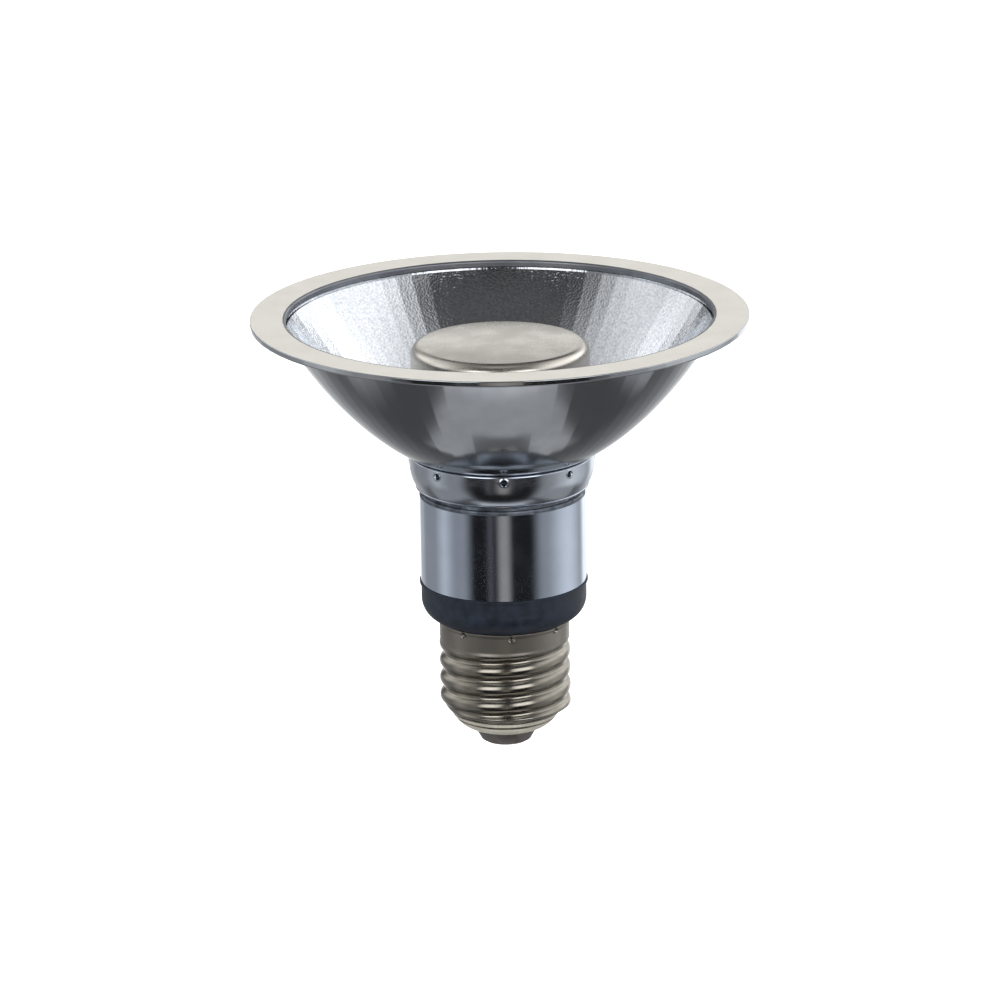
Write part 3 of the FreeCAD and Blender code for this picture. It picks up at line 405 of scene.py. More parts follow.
class Outline:
    """The half section of a turned piece, as corners round a closed line in millimetres."""

    # How far from a rounded corner a point holds the straight stretch straight
    SUPPORT = 0.08
    # Turn between two points of a rounded corner
    ARC_STEP = math.radians(15)

    def __init__(self, finish: Finish, radius: float, height: float, rounding: float = 0.0) -> None:
        """Starts at a corner.

        Args:
            finish: Finish of the first and the last stretch.
            radius: Distance of the corner from the axis.
            height: Height of the corner.
            rounding: Radius that rounds the corner off.
        """
        self.finish = finish
        self.corners = [Corner(radius, height, finish, rounding)]

    def to(self, radius: float, height: float, rounding: float = 0.0) -> Outline:
        """Goes straight on to a corner, and returns the outline for the next step."""
        self.corners.append(Corner(radius, height, self.finish, rounding))
        return self

    def paint(self, finish: Finish) -> Outline:
        """Sets the finish of the next stretches, and returns the outline."""
        self.finish = finish
        return self

    def bow(self, radius: float, height: float, curve: float, side: Side, steps: int) -> Outline:
        """Goes on to a corner along an arc.

        Args:
            radius: Distance of the new corner from the axis.
            height: Height of the new corner.
            curve: Radius of the arc.
            side: The side of travel that the arc's centre lies on.
            steps: Number of straight parts.

        Returns:
            The outline, for the next step.
        """
        first = Vector(self.corners[-1][:2])
        last = Vector((radius, height))
        centre = arc_centre(first, last, curve, side)
        start = math.atan2(first.y - centre.y, first.x - centre.x)
        end = math.atan2(last.y - centre.y, last.x - centre.x)
        sweep = side.value * ((side.value * (end - start)) % math.tau)
        for step in range(1, steps + 1):
            angle = start + sweep * step / steps
            self.to(centre.x + curve * math.cos(angle), centre.y + curve * math.sin(angle))
        return self

    def along(self, heights: Iterable[float], radius_at: Callable[[float], float]) -> Outline:
        """Goes on along a curve.

        Args:
            heights: Heights of the corners to go on to.
            radius_at: Gives the radius at a height.

        Returns:
            The outline, for the next step.
        """
        for height in heights:
            self.to(radius_at(height), height)
        return self

    def points(self) -> list[Corner]:
        """Rounds the corners off.

        Returns:
            The points round the closed outline.
        """
        found: list[Corner] = []
        for index, corner in enumerate(self.corners):
            if not corner.rounding:
                found.append(corner)
                continue
            after = self.corners[(index + 1) % len(self.corners)]
            middle = Vector(corner[:2])
            back = Vector(self.corners[index - 1][:2]) - middle
            on = Vector(after[:2]) - middle
            half = back.angle(on) / 2
            reach = corner.rounding / math.tan(half)
            inward = (back.normalized() + on.normalized()).normalized()
            centre = middle + inward * (corner.rounding / math.sin(half))
            start = middle + back.normalized() * reach - centre
            end = middle + on.normalized() * reach - centre
            if back.length > reach + 2 * self.SUPPORT:
                found.append(Corner(*(middle + back.normalized() * (reach + self.SUPPORT)), corner.finish))
            steps = max(2, round((math.pi - 2 * half) / self.ARC_STEP))
            for step in range(steps + 1):
                place = centre + start.slerp(end, step / steps) * corner.rounding
                found.append(Corner(*place, corner.finish))
            if on.length > reach + 2 * self.SUPPORT:
                found.append(Corner(*(middle + on.normalized() * (reach + self.SUPPORT)), after.finish))
        return found


@dataclass(frozen=True)
class Mark:
    """A round mark pressed into a wall, with the burr that it raises round itself.

    Attributes:
        angle: Where it stands round the axis, in degrees.
        height: Height of its middle.
        radius: Radius at the surface.
        tip: Radius at its bottom.
        depth: Depth of the mark.
        burr: Height of the burr.
        skin: The smallest wall radius that it reaches.
    """

    angle: float
    height: float
    radius: float
    tip: float
    depth: float
    burr: float
    skin: float = 0.0

    # Where the burr ends, in radii of the mark
    REACH = 1.5

    def away(self, radius: float, height: float, angle: float) -> float:
        """Distance of a wall point from the mark's middle, along the wall."""
        turn = (angle - self.angle + 180) % 360 - 180
        return math.hypot(math.radians(turn) * radius, height - self.height)

    def holds(self, radius: float, height: float, angle: float) -> bool:
        """Whether a wall point lies inside the mark."""
        return radius >= self.skin and self.away(radius, height, angle) < (self.radius + self.tip) / 2

    def shift(self, radius: float, height: float, angle: float) -> float:
        """How far the mark moves a wall point outward.

        Args:
            radius: The point's distance from the axis.
            height: The point's height.
            angle: The point's angle in degrees.

        Returns:
            The move in millimetres, negative into the wall.
        """
        away = self.away(radius, height, angle)
        if radius < self.skin or away >= self.radius * self.REACH:
            return 0.0
        if away <= self.tip:
            return -self.depth
        if away <= self.radius:
            share = (away - self.tip) / (self.radius - self.tip)
            return -self.depth * (1 - share) + self.burr * share
        share = (away - self.radius) / (self.radius * (self.REACH - 1))
        return self.burr * (1 + math.cos(math.pi * share)) / 2


def columns(count: int, marks: Sequence[Mark] = (), wall: float = 1.0) -> list[float]:
    """Angles of the columns of a turned mesh, closer together across each mark.

    Args:
        count: Number of even columns.
        marks: The marks on the wall.
        wall: Radius of the wall that carries them.

    Returns:
        The angles in degrees, in rising order.
    """
    even = [index * 360 / count for index in range(count)]
    close: list[float] = []
    for mark in marks:
        step = math.degrees(mark.radius / MARK_COLUMNS / wall)
        close += [(mark.angle + step * place) % 360 for place in range(-MARK_REACH, MARK_REACH + 1)]
        clear = (MARK_REACH + 0.5) * step
        even = [a for a in even if abs((a - mark.angle + 180) % 360 - 180) > clear]
    return sorted(even + close)


def turned(
    name: str,
    outline: Outline,
    angles: Sequence[float],
    finishes: Sequence[Finish],
    shape: Shape | None = None,
    rows: Rows | None = None,
    repaint: Repaint | None = None,
) -> bpy.types.Object:
    """Turns an outline about the axis into one closed mesh.

    Args:
        name: Name of the piece.
        outline: Its half section.
        angles: Angles of the mesh's columns, in degrees.
        finishes: All the finishes that it has.
        shape: Gives a point's radius, where the piece isn't round.
        rows: The heights between which rows stand closer.
        repaint: Gives a face's finish, or None for the outline's own.

    Returns:
        The new object, linked to the scene.
    """
    section = closer(outline.points(), rows) if rows else outline.points()
    vertices = []
    for angle in angles:
        along, across = math.cos(math.radians(angle)), math.sin(math.radians(angle))
        for point in section:
            out = shape(point.radius, point.height, angle) if shape else point.radius
            vertices.append((out * along * MM, out * across * MM, point.height * MM))
    count = len(section)
    faces = []
    slots = []
    for column, angle in enumerate(angles):
        after = (column + 1) % len(angles)
        here, there = column * count, after * count
        middle = angle + (angles[after] - angle) % 360 / 2
        for row, (low, high) in enumerate(zip(section, section[1:] + section[:1])):
            if low.radius == 0 and high.radius == 0:
                continue
            ahead = (row + 1) % count
            faces.append((here + row, there + row, there + ahead, here + ahead))
            place = ((low.radius + high.radius) / 2, (low.height + high.height) / 2, middle)
            own = repaint(*place) if repaint else None
            slots.append(finishes.index(own or high.finish))
    mesh = bpy.data.meshes.new(name)
    mesh.from_pydata(vertices, [], faces)
    for finish in finishes:
        mesh.materials.append(finish.material())
    mesh.polygons.foreach_set("material_index", slots)
    work = bmesh.new()
    work.from_mesh(mesh)
    bmesh.ops.remove_doubles(work, verts=work.verts, dist=WELD * MM)
    bmesh.ops.recalc_face_normals(work, faces=work.faces)
    work.to_mesh(mesh)
    work.free()
    mesh.shade_smooth()
    mesh.set_sharp_from_angle(angle=math.radians(SHARP_EDGE))
    piece = bpy.data.objects.new(name, mesh)
    bpy.context.scene.collection.objects.link(piece)
    return piece


def closer(section: list[Corner], rows: Rows) -> list[Corner]:
    """Puts more points into the part of a section between two heights.

    Args:
        section: The points round the section.
        rows: The two heights and the spacing between them.

    Returns:
        The section with the added points.
    """
    found = []
    for index, here in enumerate(section):
        found.append(here)
        after = section[(index + 1) % len(section)]
        if max(here.height, after.height) < rows.low or min(here.height, after.height) > rows.high:
            continue
        length = math.hypot(after.radius - here.radius, after.height - here.height)
        parts = max(1, math.ceil(length / rows.spacing))
        for share in (part / parts for part in range(1, parts)):
            height = here.height + (after.height - here.height) * share
            if rows.low <= height <= rows.high:
                radius = here.radius + (after.radius - here.radius) * share
                found.append(Corner(radius, height, after.finish))
    return found


def stand_for(piece: bpy.types.Object, node: str) -> bpy.types.Object:
    """Lets a piece take a CAD node's place on the lamp.

    Args:
        piece: The new piece.
        node: The CAD node that it replaces.

    Returns:
        The piece.
    """
    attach(piece, LAMP_BODY)
    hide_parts(node)
    return piece


def dress(finishes: dict[str, Finish]) -> list[str]:
    """Gives CAD nodes their finishes.

    Args:
        finishes: The finish of each node, by the node's name.

    Returns:
        The nodes' names.
    """
    for node, finish in finishes.items():
        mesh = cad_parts[node].data
        mesh.materials.clear()
        mesh.materials.append(finish.material())
    return list(finishes)


@dataclass
class ReflectorBowl:
    """The spun bowl with its rim flange and neck, fluted and hammered inside.

    Its flange has a sharp upper edge and a rounded lower one, both bare metal.
    """

    # The neck, its floor and the passage through that
    neck_radius: float = 16.9
    neck_bottom: float = 54.3
    neck_edge: float = 0.2
    floor: float = 1.0
    floor_edge: float = 0.3
    passage: float = 1.8
    # The conic bowl. Its squared radius loses the flattening for each squared millimetre of height
    wall: float = 1.25
    throat_height: float = 60.05
    throat_radius: float = 18.0
    throat_root: float = 0.1
    throat_edge: float = 0.12
    opening: float = 42.1
    flattening: float = 0.27
    # The flange
    rim_radius: float = 49.2
    rim_top: float = 88.0
    rim_thickness: float = 1.2
    rim_edge: float = 0.15
    rim_foot: float = 0.45
    rim_root: float = 1.2
    # The mouth's bare lip, darker grey with painted shade, and the stop groove under it, whose upper part
    # is painted dark as shade
    mouth_edge: float = 0.4
    mouth_width: float = 0.6
    mouth_lip: float = 1.3
    lip_edge: float = 0.08
    groove_height: float = 0.4
    groove_depth: float = 0.35
    groove_shadow: float = 0.15
    # The flutes, and the share of a flute on each side of its edge that is a face of its own
    flutes: int = 72
    flute_edge: float = 0.07
    rows: int = 44

    # Power by which the rows stand closer towards the throat
    CROWDING = 1.3

    @property
    def underside(self) -> float:
        """Height of the flange's underside."""
        return self.rim_top - self.rim_thickness

    @property
    def flute_top(self) -> float:
        """Height at which the flutes end below the groove."""
        return self.rim_top - self.mouth_lip - self.groove_height

    def outside_radius(self, height: float) -> float:
        """Follows the conic outside of the bowl.

        Args:
            height: Height of a point.

        Returns:
            Its radius in millimetres.
        """
        rise = self.underside - self.throat_height
        spread = ((self.opening + self.wall) ** 2 - self.throat_radius ** 2) / rise + self.flattening * rise
        above = height - self.throat_height
        return math.sqrt(self.throat_radius ** 2 + spread * above - self.flattening * above ** 2)

    def outline(self) -> Outline:
        """Goes up the outside, over the rim and down the flutes.

        Returns:
            The bowl's half section.
        """
        root = self.underside - self.rim_root
        rise = root - self.throat_height
        groove = self.opening + self.groove_depth
        groove_top = self.rim_top - self.mouth_lip
        drop = self.flute_top - self.throat_height
        shares = [row / self.rows for row in range(self.rows + 1)]
        up = [self.throat_height + rise * share ** self.CROWDING for share in shares[1:]]
        down = [self.flute_top - drop * (1 - (1 - share) ** self.CROWDING) for share in shares]
        section = Outline(SPUN_OUTSIDE, self.passage, self.neck_bottom)
        section.to(self.neck_radius, self.neck_bottom, self.neck_edge)
        section.to(self.neck_radius, self.throat_height, self.throat_root)
        section.to(self.throat_radius, self.throat_height, self.throat_edge)
        section.along(up, self.outside_radius)
        flange = self.outside_radius(root) + self.rim_root
        section.bow(flange, self.underside, self.rim_root, Side.RIGHT, steps=8)
        section.to(self.rim_radius, self.underside, self.rim_foot)
        section.to(self.rim_radius, self.rim_top, self.rim_edge)
        section.paint(SATIN_RIM).to(self.opening + self.mouth_width, self.rim_top)
        # The lip takes a darker grey as painted shade
        section.paint(DULL_LIP_PAINTED_SHADE).to(self.opening, self.rim_top, self.mouth_edge)
        section.to(self.opening, groove_top, self.lip_edge)
        # The groove's upper part takes painted shade
        section.paint(PAINTED_SHADE_METAL).to(groove, groove_top)
        section.to(groove, groove_top - self.groove_shadow)
        section.paint(HAMMERED_FLUTES).to(groove, self.flute_top)
        section.along(down, lambda height: self.outside_radius(height) - self.wall)
        section.to(self.neck_radius - self.wall, self.throat_height, self.throat_root)
        section.to(self.neck_radius - self.wall, self.neck_bottom + self.floor, self.floor_edge)
        section.to(self.passage, self.neck_bottom + self.floor)
        return section

    def fluted(self, radius: float, height: float, angle: float) -> float:
        """Flattens the inside between one flute's edge and the next.

        Args:
            radius: A point's distance from the axis.
            height: Its height.
            angle: Its angle in degrees.

        Returns:
            The radius on the flat.
        """
        if not self.throat_height < height <= self.flute_top + NEAR:
            return radius
        if abs(self.outside_radius(height) - self.wall - radius) > NEAR:
            return radius
        pitch = 360 / self.flutes
        off_middle = math.radians(angle % pitch - pitch / 2)
        return radius * math.cos(math.radians(pitch / 2)) / math.cos(off_middle)

    def build(self) -> bpy.types.Object:
        """Makes the bowl in place of its CAD node.

        Returns:
            The bowl.
        """
        pitch = 360 / self.flutes
        shares = (0.0, self.flute_edge, 1 - self.flute_edge)
        angles = [(flute + share) * pitch for flute in range(self.flutes) for share in shares]
        piece = turned("fluted_reflector_bowl", self.outline(), angles,
                       (SPUN_OUTSIDE, HAMMERED_FLUTES, SATIN_RIM, PAINTED_SHADE_METAL, DULL_LIP_PAINTED_SHADE), self.fluted)
        return stand_for(piece, "reflector_bowl")


@dataclass
class GlareCap:
    """The pressed cap over the light source."""

    radius: float = 17.7
    bottom: float = 73.0
    top: float = 82.8
    crown: float = 0.5
    # The rounded shoulder, and how far below it a row keeps the wall straight
    shoulder: float = 2.1
    shoulder_margin: float = 0.4
    wall: float = 1.2
    foot_edge: float = 0.25
    inside_edge: float = 0.15
    segments: int = 128

    def build(self) -> bpy.types.Object:
        """Makes the cap in place of its CAD node.

        Returns:
            The cap.
        """
        edge = self.radius - self.shoulder
        curve = (edge ** 2 + self.crown ** 2) / (2 * self.crown)
        inside = self.radius - self.wall
        inner_edge = self.shoulder - self.wall
        brow = self.top - self.crown
        section = Outline(BLASTED_CAP, inside, self.bottom, self.inside_edge)
        section.to(self.radius, self.bottom, self.foot_edge)
        section.to(self.radius, brow - self.shoulder - self.shoulder_margin)
        section.to(self.radius, brow - self.shoulder)
        section.bow(edge, brow, self.shoulder, Side.LEFT, steps=12)
        section.bow(0.0, self.top, curve, Side.LEFT, steps=16)
        section.to(0.0, brow - self.wall)
        section.to(inside - inner_edge, brow - self.wall)
        section.bow(inside, brow - self.wall - inner_edge, inner_edge, Side.RIGHT, steps=6)
        piece = turned("pressed_glare_cap", section, columns(self.segments), (BLASTED_CAP,))
        return stand_for(piece, "glare_cap")


@dataclass
class CollarRing:
    """The drawn collar that grips the bowl's neck, with its stake marks."""

    inside: float = 17.0
    radius: float = 18.4
    foot_radius: float = 17.1
    bottom: float = 53.3
    top: float = 60.0
    band: float = 2.0
    floor: float = 1.0
    passage: float = 1.8
    edge: float = 0.3
    inside_edge: float = 0.15
    bead: float = 0.12
    bead_height: float = 0.35
    segments: int = 144
    # The stake marks, which move only what lies more than their skin outside the inner face. Rows
    # stand closer over the marked height, with mark_rows of them from a mark's middle to its edge
    marks: int = 8
    mark_turn: float = 1.0
    mark_drop: float = 1.2
    mark_radius: float = 0.68
    mark_tip: float = 0.42
    mark_depth: float = 0.5
    mark_burr: float = 0.12
    mark_skin: float = 0.5
    marked_height: float = 3.0
    mark_rows: int = 6

    def stake_marks(self) -> list[Mark]:
        """Spaces the stake marks evenly round the collar from its front.

        Returns:
            The marks.
        """
        return [Mark(FRONT + self.mark_turn + 360 * index / self.marks, self.top - self.mark_drop,
                     self.mark_radius, self.mark_tip, self.mark_depth, self.mark_burr,
                     self.inside + self.mark_skin)
                for index in range(self.marks)]

    def build(self) -> bpy.types.Object:
        """Makes the collar in place of its CAD node.

        Returns:
            The collar.
        """
        bend = self.top - self.band
        foot = self.bottom + self.bead_height
        drop = bend - foot
        draw = self.radius - self.foot_radius
        section = Outline(COLLAR_METAL, self.passage, self.bottom)
        section.to(self.foot_radius + self.bead, self.bottom, self.edge)
        section.to(self.foot_radius + self.bead, foot - self.bead, self.bead)
        section.to(self.foot_radius, foot)
        section.bow(self.radius, bend, (drop ** 2 + draw ** 2) / (2 * draw), Side.LEFT, steps=20)
        section.to(self.radius, self.top, self.edge)
        section.to(self.inside, self.top, self.inside_edge)
        section.to(self.inside, self.bottom + self.floor)
        section.to(self.passage, self.bottom + self.floor)
        marks = self.stake_marks()

        def staked(radius: float, height: float, angle: float) -> float:
            """The wall's radius with the marks pressed in."""
            return radius + sum(mark.shift(radius, height, angle) for mark in marks)

        # Faces inside a stake mark take painted shade
        def shade_in_mark(radius: float, height: float, angle: float) -> Finish | None:
            """The painted shade finish for a face inside a mark."""
            return PAINTED_SHADE_METAL if any(mark.holds(radius, height, angle) for mark in marks) else None

        rows = Rows(self.top - self.marked_height, self.top, self.mark_radius / self.mark_rows)
        piece = turned("staked_collar_ring", section, columns(self.segments, marks, self.radius),
                       (COLLAR_METAL, PAINTED_SHADE_METAL), staked, rows, shade_in_mark)
        return stand_for(piece, "collar_ring")


@dataclass
class HousingCan:
    """The polished can, necked in under the collar by a tool that left small nicks there."""

    radius: float = 16.5
    wall: float = 0.9
    bottom: float = 33.8
    top: float = 53.3
    edge: float = 0.12
    inside_edge: float = 0.1
    ceiling: float = 1.1
    neck_height: float = 0.9
    neck_depth: float = 0.4
    neck_edge: float = 0.1
    passage: float = 1.8
    segments: int = 320
    # The nicks: how far below the neck they start, and how far below that a row keeps the wall
    # straight. Their width, how much wider than high they are, their depth, and the noise that
    # makes none. How deep in the wall they reach, and the spacing of the rows there
    nick_reach: float = 0.9
    nick_margin: float = 0.1
    nick_size: float = 1.2
    nick_flatness: float = 1.5
    nick_depth: float = 0.5
    nick_threshold: float = 0.2
    nick_skin: float = 0.05
    nick_rows: float = 0.15

    @property
    def neck_bottom(self) -> float:
        """Height at which the neck starts."""
        return self.top - self.neck_height

    def nicked(self, radius: float, height: float, angle: float) -> float:
        """Presses the nicks into the wall round the neck.

        Args:
            radius: A point's distance from the axis.
            height: Its height.
            angle: Its angle in degrees.

        Returns:
            The radius with the nicks.
        """
        above = height - (self.neck_bottom - self.nick_reach)
        if above <= 0 or radius < self.radius - self.neck_depth - self.nick_skin:
            return radius
        turn = math.radians(angle)
        level = height * self.nick_flatness
        place = Vector((math.cos(turn) * radius, math.sin(turn) * radius, level)) / self.nick_size
        bite = max(noise.noise(place) - self.nick_threshold, 0.0)
        return radius - self.nick_depth * bite * min(above / self.nick_reach, 1.0)

    def build(self) -> bpy.types.Object:
        """Makes the can in place of its CAD node.

        Returns:
            The can.
        """
        neck = self.radius - self.neck_depth
        nicks = self.neck_bottom - self.nick_reach
        inside = self.radius - self.wall
        section = Outline(DRAWN_CAN, inside, self.bottom, self.inside_edge)
        section.to(self.radius, self.bottom, self.edge)
        section.to(self.radius, nicks - self.nick_margin)
        section.to(self.radius, nicks)
        # The neck is painted darker: painted shade under the collar's foot
        section.paint(NICKED_NECK_PAINTED_SHADE).to(self.radius, self.neck_bottom - self.neck_depth)
        section.bow(neck, self.neck_bottom, self.neck_depth, Side.LEFT, steps=8)
        section.to(neck, self.top, self.neck_edge)
        section.paint(DRAWN_CAN).to(self.passage, self.top)
        section.to(self.passage, self.top - self.ceiling)
        section.to(inside, self.top - self.ceiling, self.neck_depth)
        piece = turned("polished_housing_can", section, columns(self.segments), (DRAWN_CAN, NICKED_NECK_PAINTED_SHADE),
                       self.nicked, Rows(nicks, self.top, self.nick_rows))
        return stand_for(piece, "housing_can")


@dataclass
class ScrewShell:
    """The rolled screw shell: skirt, rounded thread and closing shoulder in one thin sheet."""

    sheet: float = 0.3
    bottom: float = 2.9
    top: float = 25.8
    opening: float = 6.4
    # The thread: its crests take more than half of its pitch, and one stands this high at this side
    mean_radius: float = 12.62
    half_depth: float = 0.475
    pitch: float = 3.629
    crest_share: float = 0.7
    crest_height: float = 9.8
    crest_side: float = 180.0
    fade: float = 0.9
    # The skirt above it
    skirt_foot: float = 20.9
    skirt_blend: float = 1.2
    skirt_radius: float = 12.95
    # The shoulder below it, the step up to the thread, and the crease
    shoulder_radius: float = 10.9
    shoulder_top: float = 6.4
    shoulder_curve: float = 6.5
    step_bottom: float = 6.8
    step_top: float = 8.1
    crease_height: float = 5.4
    crease_width: float = 0.4
    crease_depth: float = 0.25
    # The flared upper edge
    lip_foot: float = 25.0
    lip_height: float = 0.4
    lip_flare: float = 0.16
    lip_outer_edge: float = 0.12
    lip_inner_edge: float = 0.08
    # The punch marks under it, and the height over which rows stand closer for them
    punches: int = 8
    punch_turn: float = 6.0
    punch_drop: float = 0.8
    punch_radius: float = 0.7
    punch_taper: float = 3.0
    punch_depth: float = 0.45
    punch_burr: float = 0.04
    punched_height: float = 2.0
    punch_rows: int = 4
    segments: int = 120
    outer_rows: float = 0.1
    inner_rows: float = 0.3
    shoulder_rows: float = 0.07

    def thread(self, height: float, angle: float) -> float:
        """How far the thread stands out from its mean radius: crests and roots are arcs.

        Args:
            height: Height on the shell.
            angle: Angle round the axis in degrees.

        Returns:
            The relief in millimetres, negative in a root.
        """
        below = self.eased((height - self.shoulder_top) / self.fade)
        strength = below * self.eased(1 - (height - self.skirt_foot) / self.skirt_blend)
        turn = (angle - self.crest_side) / 360
        rise = (height - self.crest_height) / self.pitch - turn
        off_crest = abs((rise + 0.5) % 1 - 0.5) * self.pitch
        off_root = self.pitch / 2 - off_crest
        depth = 2 * self.half_depth
        curves = ((self.pitch / 2) ** 2 + depth ** 2) / (2 * depth)
        crest = self.crest_share * curves
        root = curves - crest
        if off_crest < self.crest_share * self.pitch / 2:
            return strength * (self.half_depth - crest + math.sqrt(crest ** 2 - off_crest ** 2))
        return strength * (root - self.half_depth - math.sqrt(root ** 2 - off_root ** 2))

    @staticmethod
    def eased(share: float) -> float:
        """A share that starts and ends gently, from zero to one."""
        held = min(max(share, 0.0), 1.0)
        return held * held * (3 - 2 * held)

    def outer_radius(self, height: float) -> float:
        """Follows the shell's outer side without its thread.

        Args:
            height: A height above the shoulder.

        Returns:
            Its radius in millimetres.
        """
        step = self.eased((height - self.step_bottom) / (self.step_top - self.step_bottom))
        skirt = self.eased((height - self.skirt_foot) / self.skirt_blend)
        lip = self.eased((height - self.lip_foot) / self.lip_height)
        return (self.shoulder_radius + (self.mean_radius - self.shoulder_radius) * step
                + (self.skirt_radius - self.mean_radius) * skirt + self.lip_flare * lip)

    def side(self, section: Outline, inset: float, spacing: float) -> None:
        """Adds one side of the sheet above the shoulder to the section.

        Args:
            section: The outline to add to.
            inset: How far the side lies inside the outer one. The outer side runs up, the inner one down.
            spacing: Distance between its rows.
        """
        reach = self.top - self.shoulder_top
        count = round(reach / spacing)
        heights = [self.shoulder_top + reach * row / count for row in range(1, count)]
        if inset:
            heights.reverse()
        # Above this height the skirt takes its matt nickel, a little darker as painted shade
        shaded_skirt_from = self.top if inset else self.skirt_foot + self.skirt_blend / 4
        for height in heights:
            section.paint(MATT_SKIRT_PAINTED_SHADE if height > shaded_skirt_from else NICKEL_PLATE)
            section.to(self.outer_radius(height) - inset, height)

    def shoulder(self, section: Outline) -> None:
        """Adds the shoulder's outer side to the section, painted pale with light apart from its crease.

        Args:
            section: The outline to add to.
        """
        first = Vector((self.opening, self.bottom))
        last = Vector((self.shoulder_radius, self.shoulder_top))
        centre = arc_centre(first, last, self.shoulder_curve, Side.LEFT)
        reach = self.shoulder_top - self.bottom
        count = round(reach / self.shoulder_rows)
        for row in range(1, count + 1):
            height = self.bottom + reach * row / count
            # The shoulder is painted pale as light from below, and its crease keeps the darker nickel as
            # painted shade
            bare = abs(height - self.crease_height) < self.crease_width / 2
            out = math.sqrt(self.shoulder_curve ** 2 - (height - centre.y) ** 2)
            section.paint(NICKEL_PLATE if bare else SHOULDER_PAINTED_LIGHT).to(centre.x + out, height)

    def creased(self, height: float) -> float:
        """How far the crease round the shoulder draws the sheet in at a height, in millimetres."""
        return self.crease_depth * self.eased(1 - abs(height - self.crease_height) / self.crease_width)

    def build(self) -> bpy.types.Object:
        """Makes the shell in place of its CAD node.

        Returns:
            The shell.
        """
        section = Outline(NICKEL_PLATE, self.opening, self.bottom)
        self.shoulder(section)
        self.side(section, 0.0, self.outer_rows)
        rim = self.skirt_radius + self.lip_flare
        # The upper lip takes the skirt's matt nickel with its painted shade
        section.paint(MATT_SKIRT_PAINTED_SHADE).to(rim, self.top, self.lip_outer_edge)
        section.to(rim - self.sheet, self.top, self.lip_inner_edge)
        self.side(section, self.sheet, self.inner_rows)
        section.to(self.shoulder_radius - self.sheet, self.shoulder_top)
        section.bow(self.opening, self.bottom + self.sheet, self.shoulder_curve, Side.RIGHT, steps=26)
        marks = [Mark(FRONT + self.punch_turn + 360 * index / self.punches, self.top - self.punch_drop,
                      self.punch_radius, self.punch_radius / self.punch_taper, self.punch_depth,
                      self.punch_burr)
                 for index in range(self.punches)]

        def rolled(radius: float, height: float, angle: float) -> float:
            """The wall's radius with the thread and crease rolled in and the punch marks pressed in."""
            pressed = sum(mark.shift(radius, height, angle) for mark in marks)
            return radius + self.thread(height, angle) - self.creased(height) + pressed

        rows = Rows(self.top - self.punched_height, self.top, self.punch_radius / self.punch_rows)
        piece = turned("threaded_screw_shell", section, columns(self.segments, marks, self.skirt_radius),
                       (NICKEL_PLATE, MATT_SKIRT_PAINTED_SHADE, SHOULDER_PAINTED_LIGHT), rolled, rows)
        return stand_for(piece, "screw_shell")


@dataclass
class BaseInsulator:
    """The dark glass cone between the shell and the contact."""

    bore: float = 1.25
    tip: float = 5.0
    tip_edge: float = 0.25
    waist: float = 6.3
    tip_height: float = 0.4
    waist_bottom: float = 2.8
    lip: float = 3.8
    flange_bottom: float = 4.9
    flange_top: float = 6.2
    flange_radius: float = 8.67
    flange_lower_edge: float = 0.1
    flange_upper_edge: float = 0.2
    segments: int = 96

    def build(self) -> bpy.types.Object:
        """Makes the insulator in place of its CAD node.

        Returns:
            The insulator.
        """
        section = Outline(DARK_GLASS, self.bore, self.tip_height)
        section.to(self.tip, self.tip_height, self.tip_edge)
        section.to(self.waist, self.waist_bottom)
        section.to(self.waist, self.lip)
        section.to(self.flange_radius, self.flange_bottom, self.flange_lower_edge)
        section.to(self.flange_radius, self.flange_top, self.flange_upper_edge)
        section.to(self.bore, self.flange_top)
        piece = turned("dark_base_insulator", section, columns(self.segments), (DARK_GLASS,))
        return stand_for(piece, "base_insulator")


@dataclass
class LightEngine:
    """The post in the bowl's middle with its boards, light sources, diffuser and fasteners."""

    boards: int = 6
    sources: int = 12

    def build(self) -> list[str]:
        """Dresses the CAD nodes of the light engine.

        Returns:
            The nodes' names.
        """
        finishes = {"led_post": TURNED_POST, "cap_stud": ZINC_STEEL, "post_screws": ZINC_STEEL,
                    "diffuser_ring": OPAL_ACRYLIC}
        finishes |= {f"led_board_{place}": WHITE_MASK for place in range(1, self.boards + 1)}
        finishes |= {f"led_{place}": PHOSPHOR for place in range(1, self.sources + 1)}
        return dress(finishes)


@dataclass
class Driver:
    """The moulded housing with its ring, the driver inside it, its leads and the lamp's contact."""

    finishes: tuple[tuple[str, Finish], ...] = (
        ("driver_housing", RING_NYLON),
        ("driver_cover", RING_NYLON),
        ("driver_board", GREEN_MASK),
        ("electrolytic_capacitor", SHRUNK_SLEEVE),
        ("film_capacitor", MUSTARD_CASE),
        ("transformer_core", SINTERED_FERRITE),
        ("transformer_winding", WINDING_TAPE),
        ("choke", CHOKE_SLEEVE),
        ("rectifier_bridge", EPOXY_CASE),
        ("controller_chip", EPOXY_CASE),
        ("fuse_resistor", BAKED_LACQUER),
        ("led_lead_positive", RED_INSULATION),
        ("led_lead_negative", BLACK_INSULATION),
        ("live_lead", BROWN_INSULATION),
        ("neutral_lead", BLUE_INSULATION),
        ("centre_contact", TINNED_BRASS),
    )

    def build(self) -> list[str]:
        """Dresses the driver's CAD nodes, and returns their names."""
        return dress(dict(self.finishes))


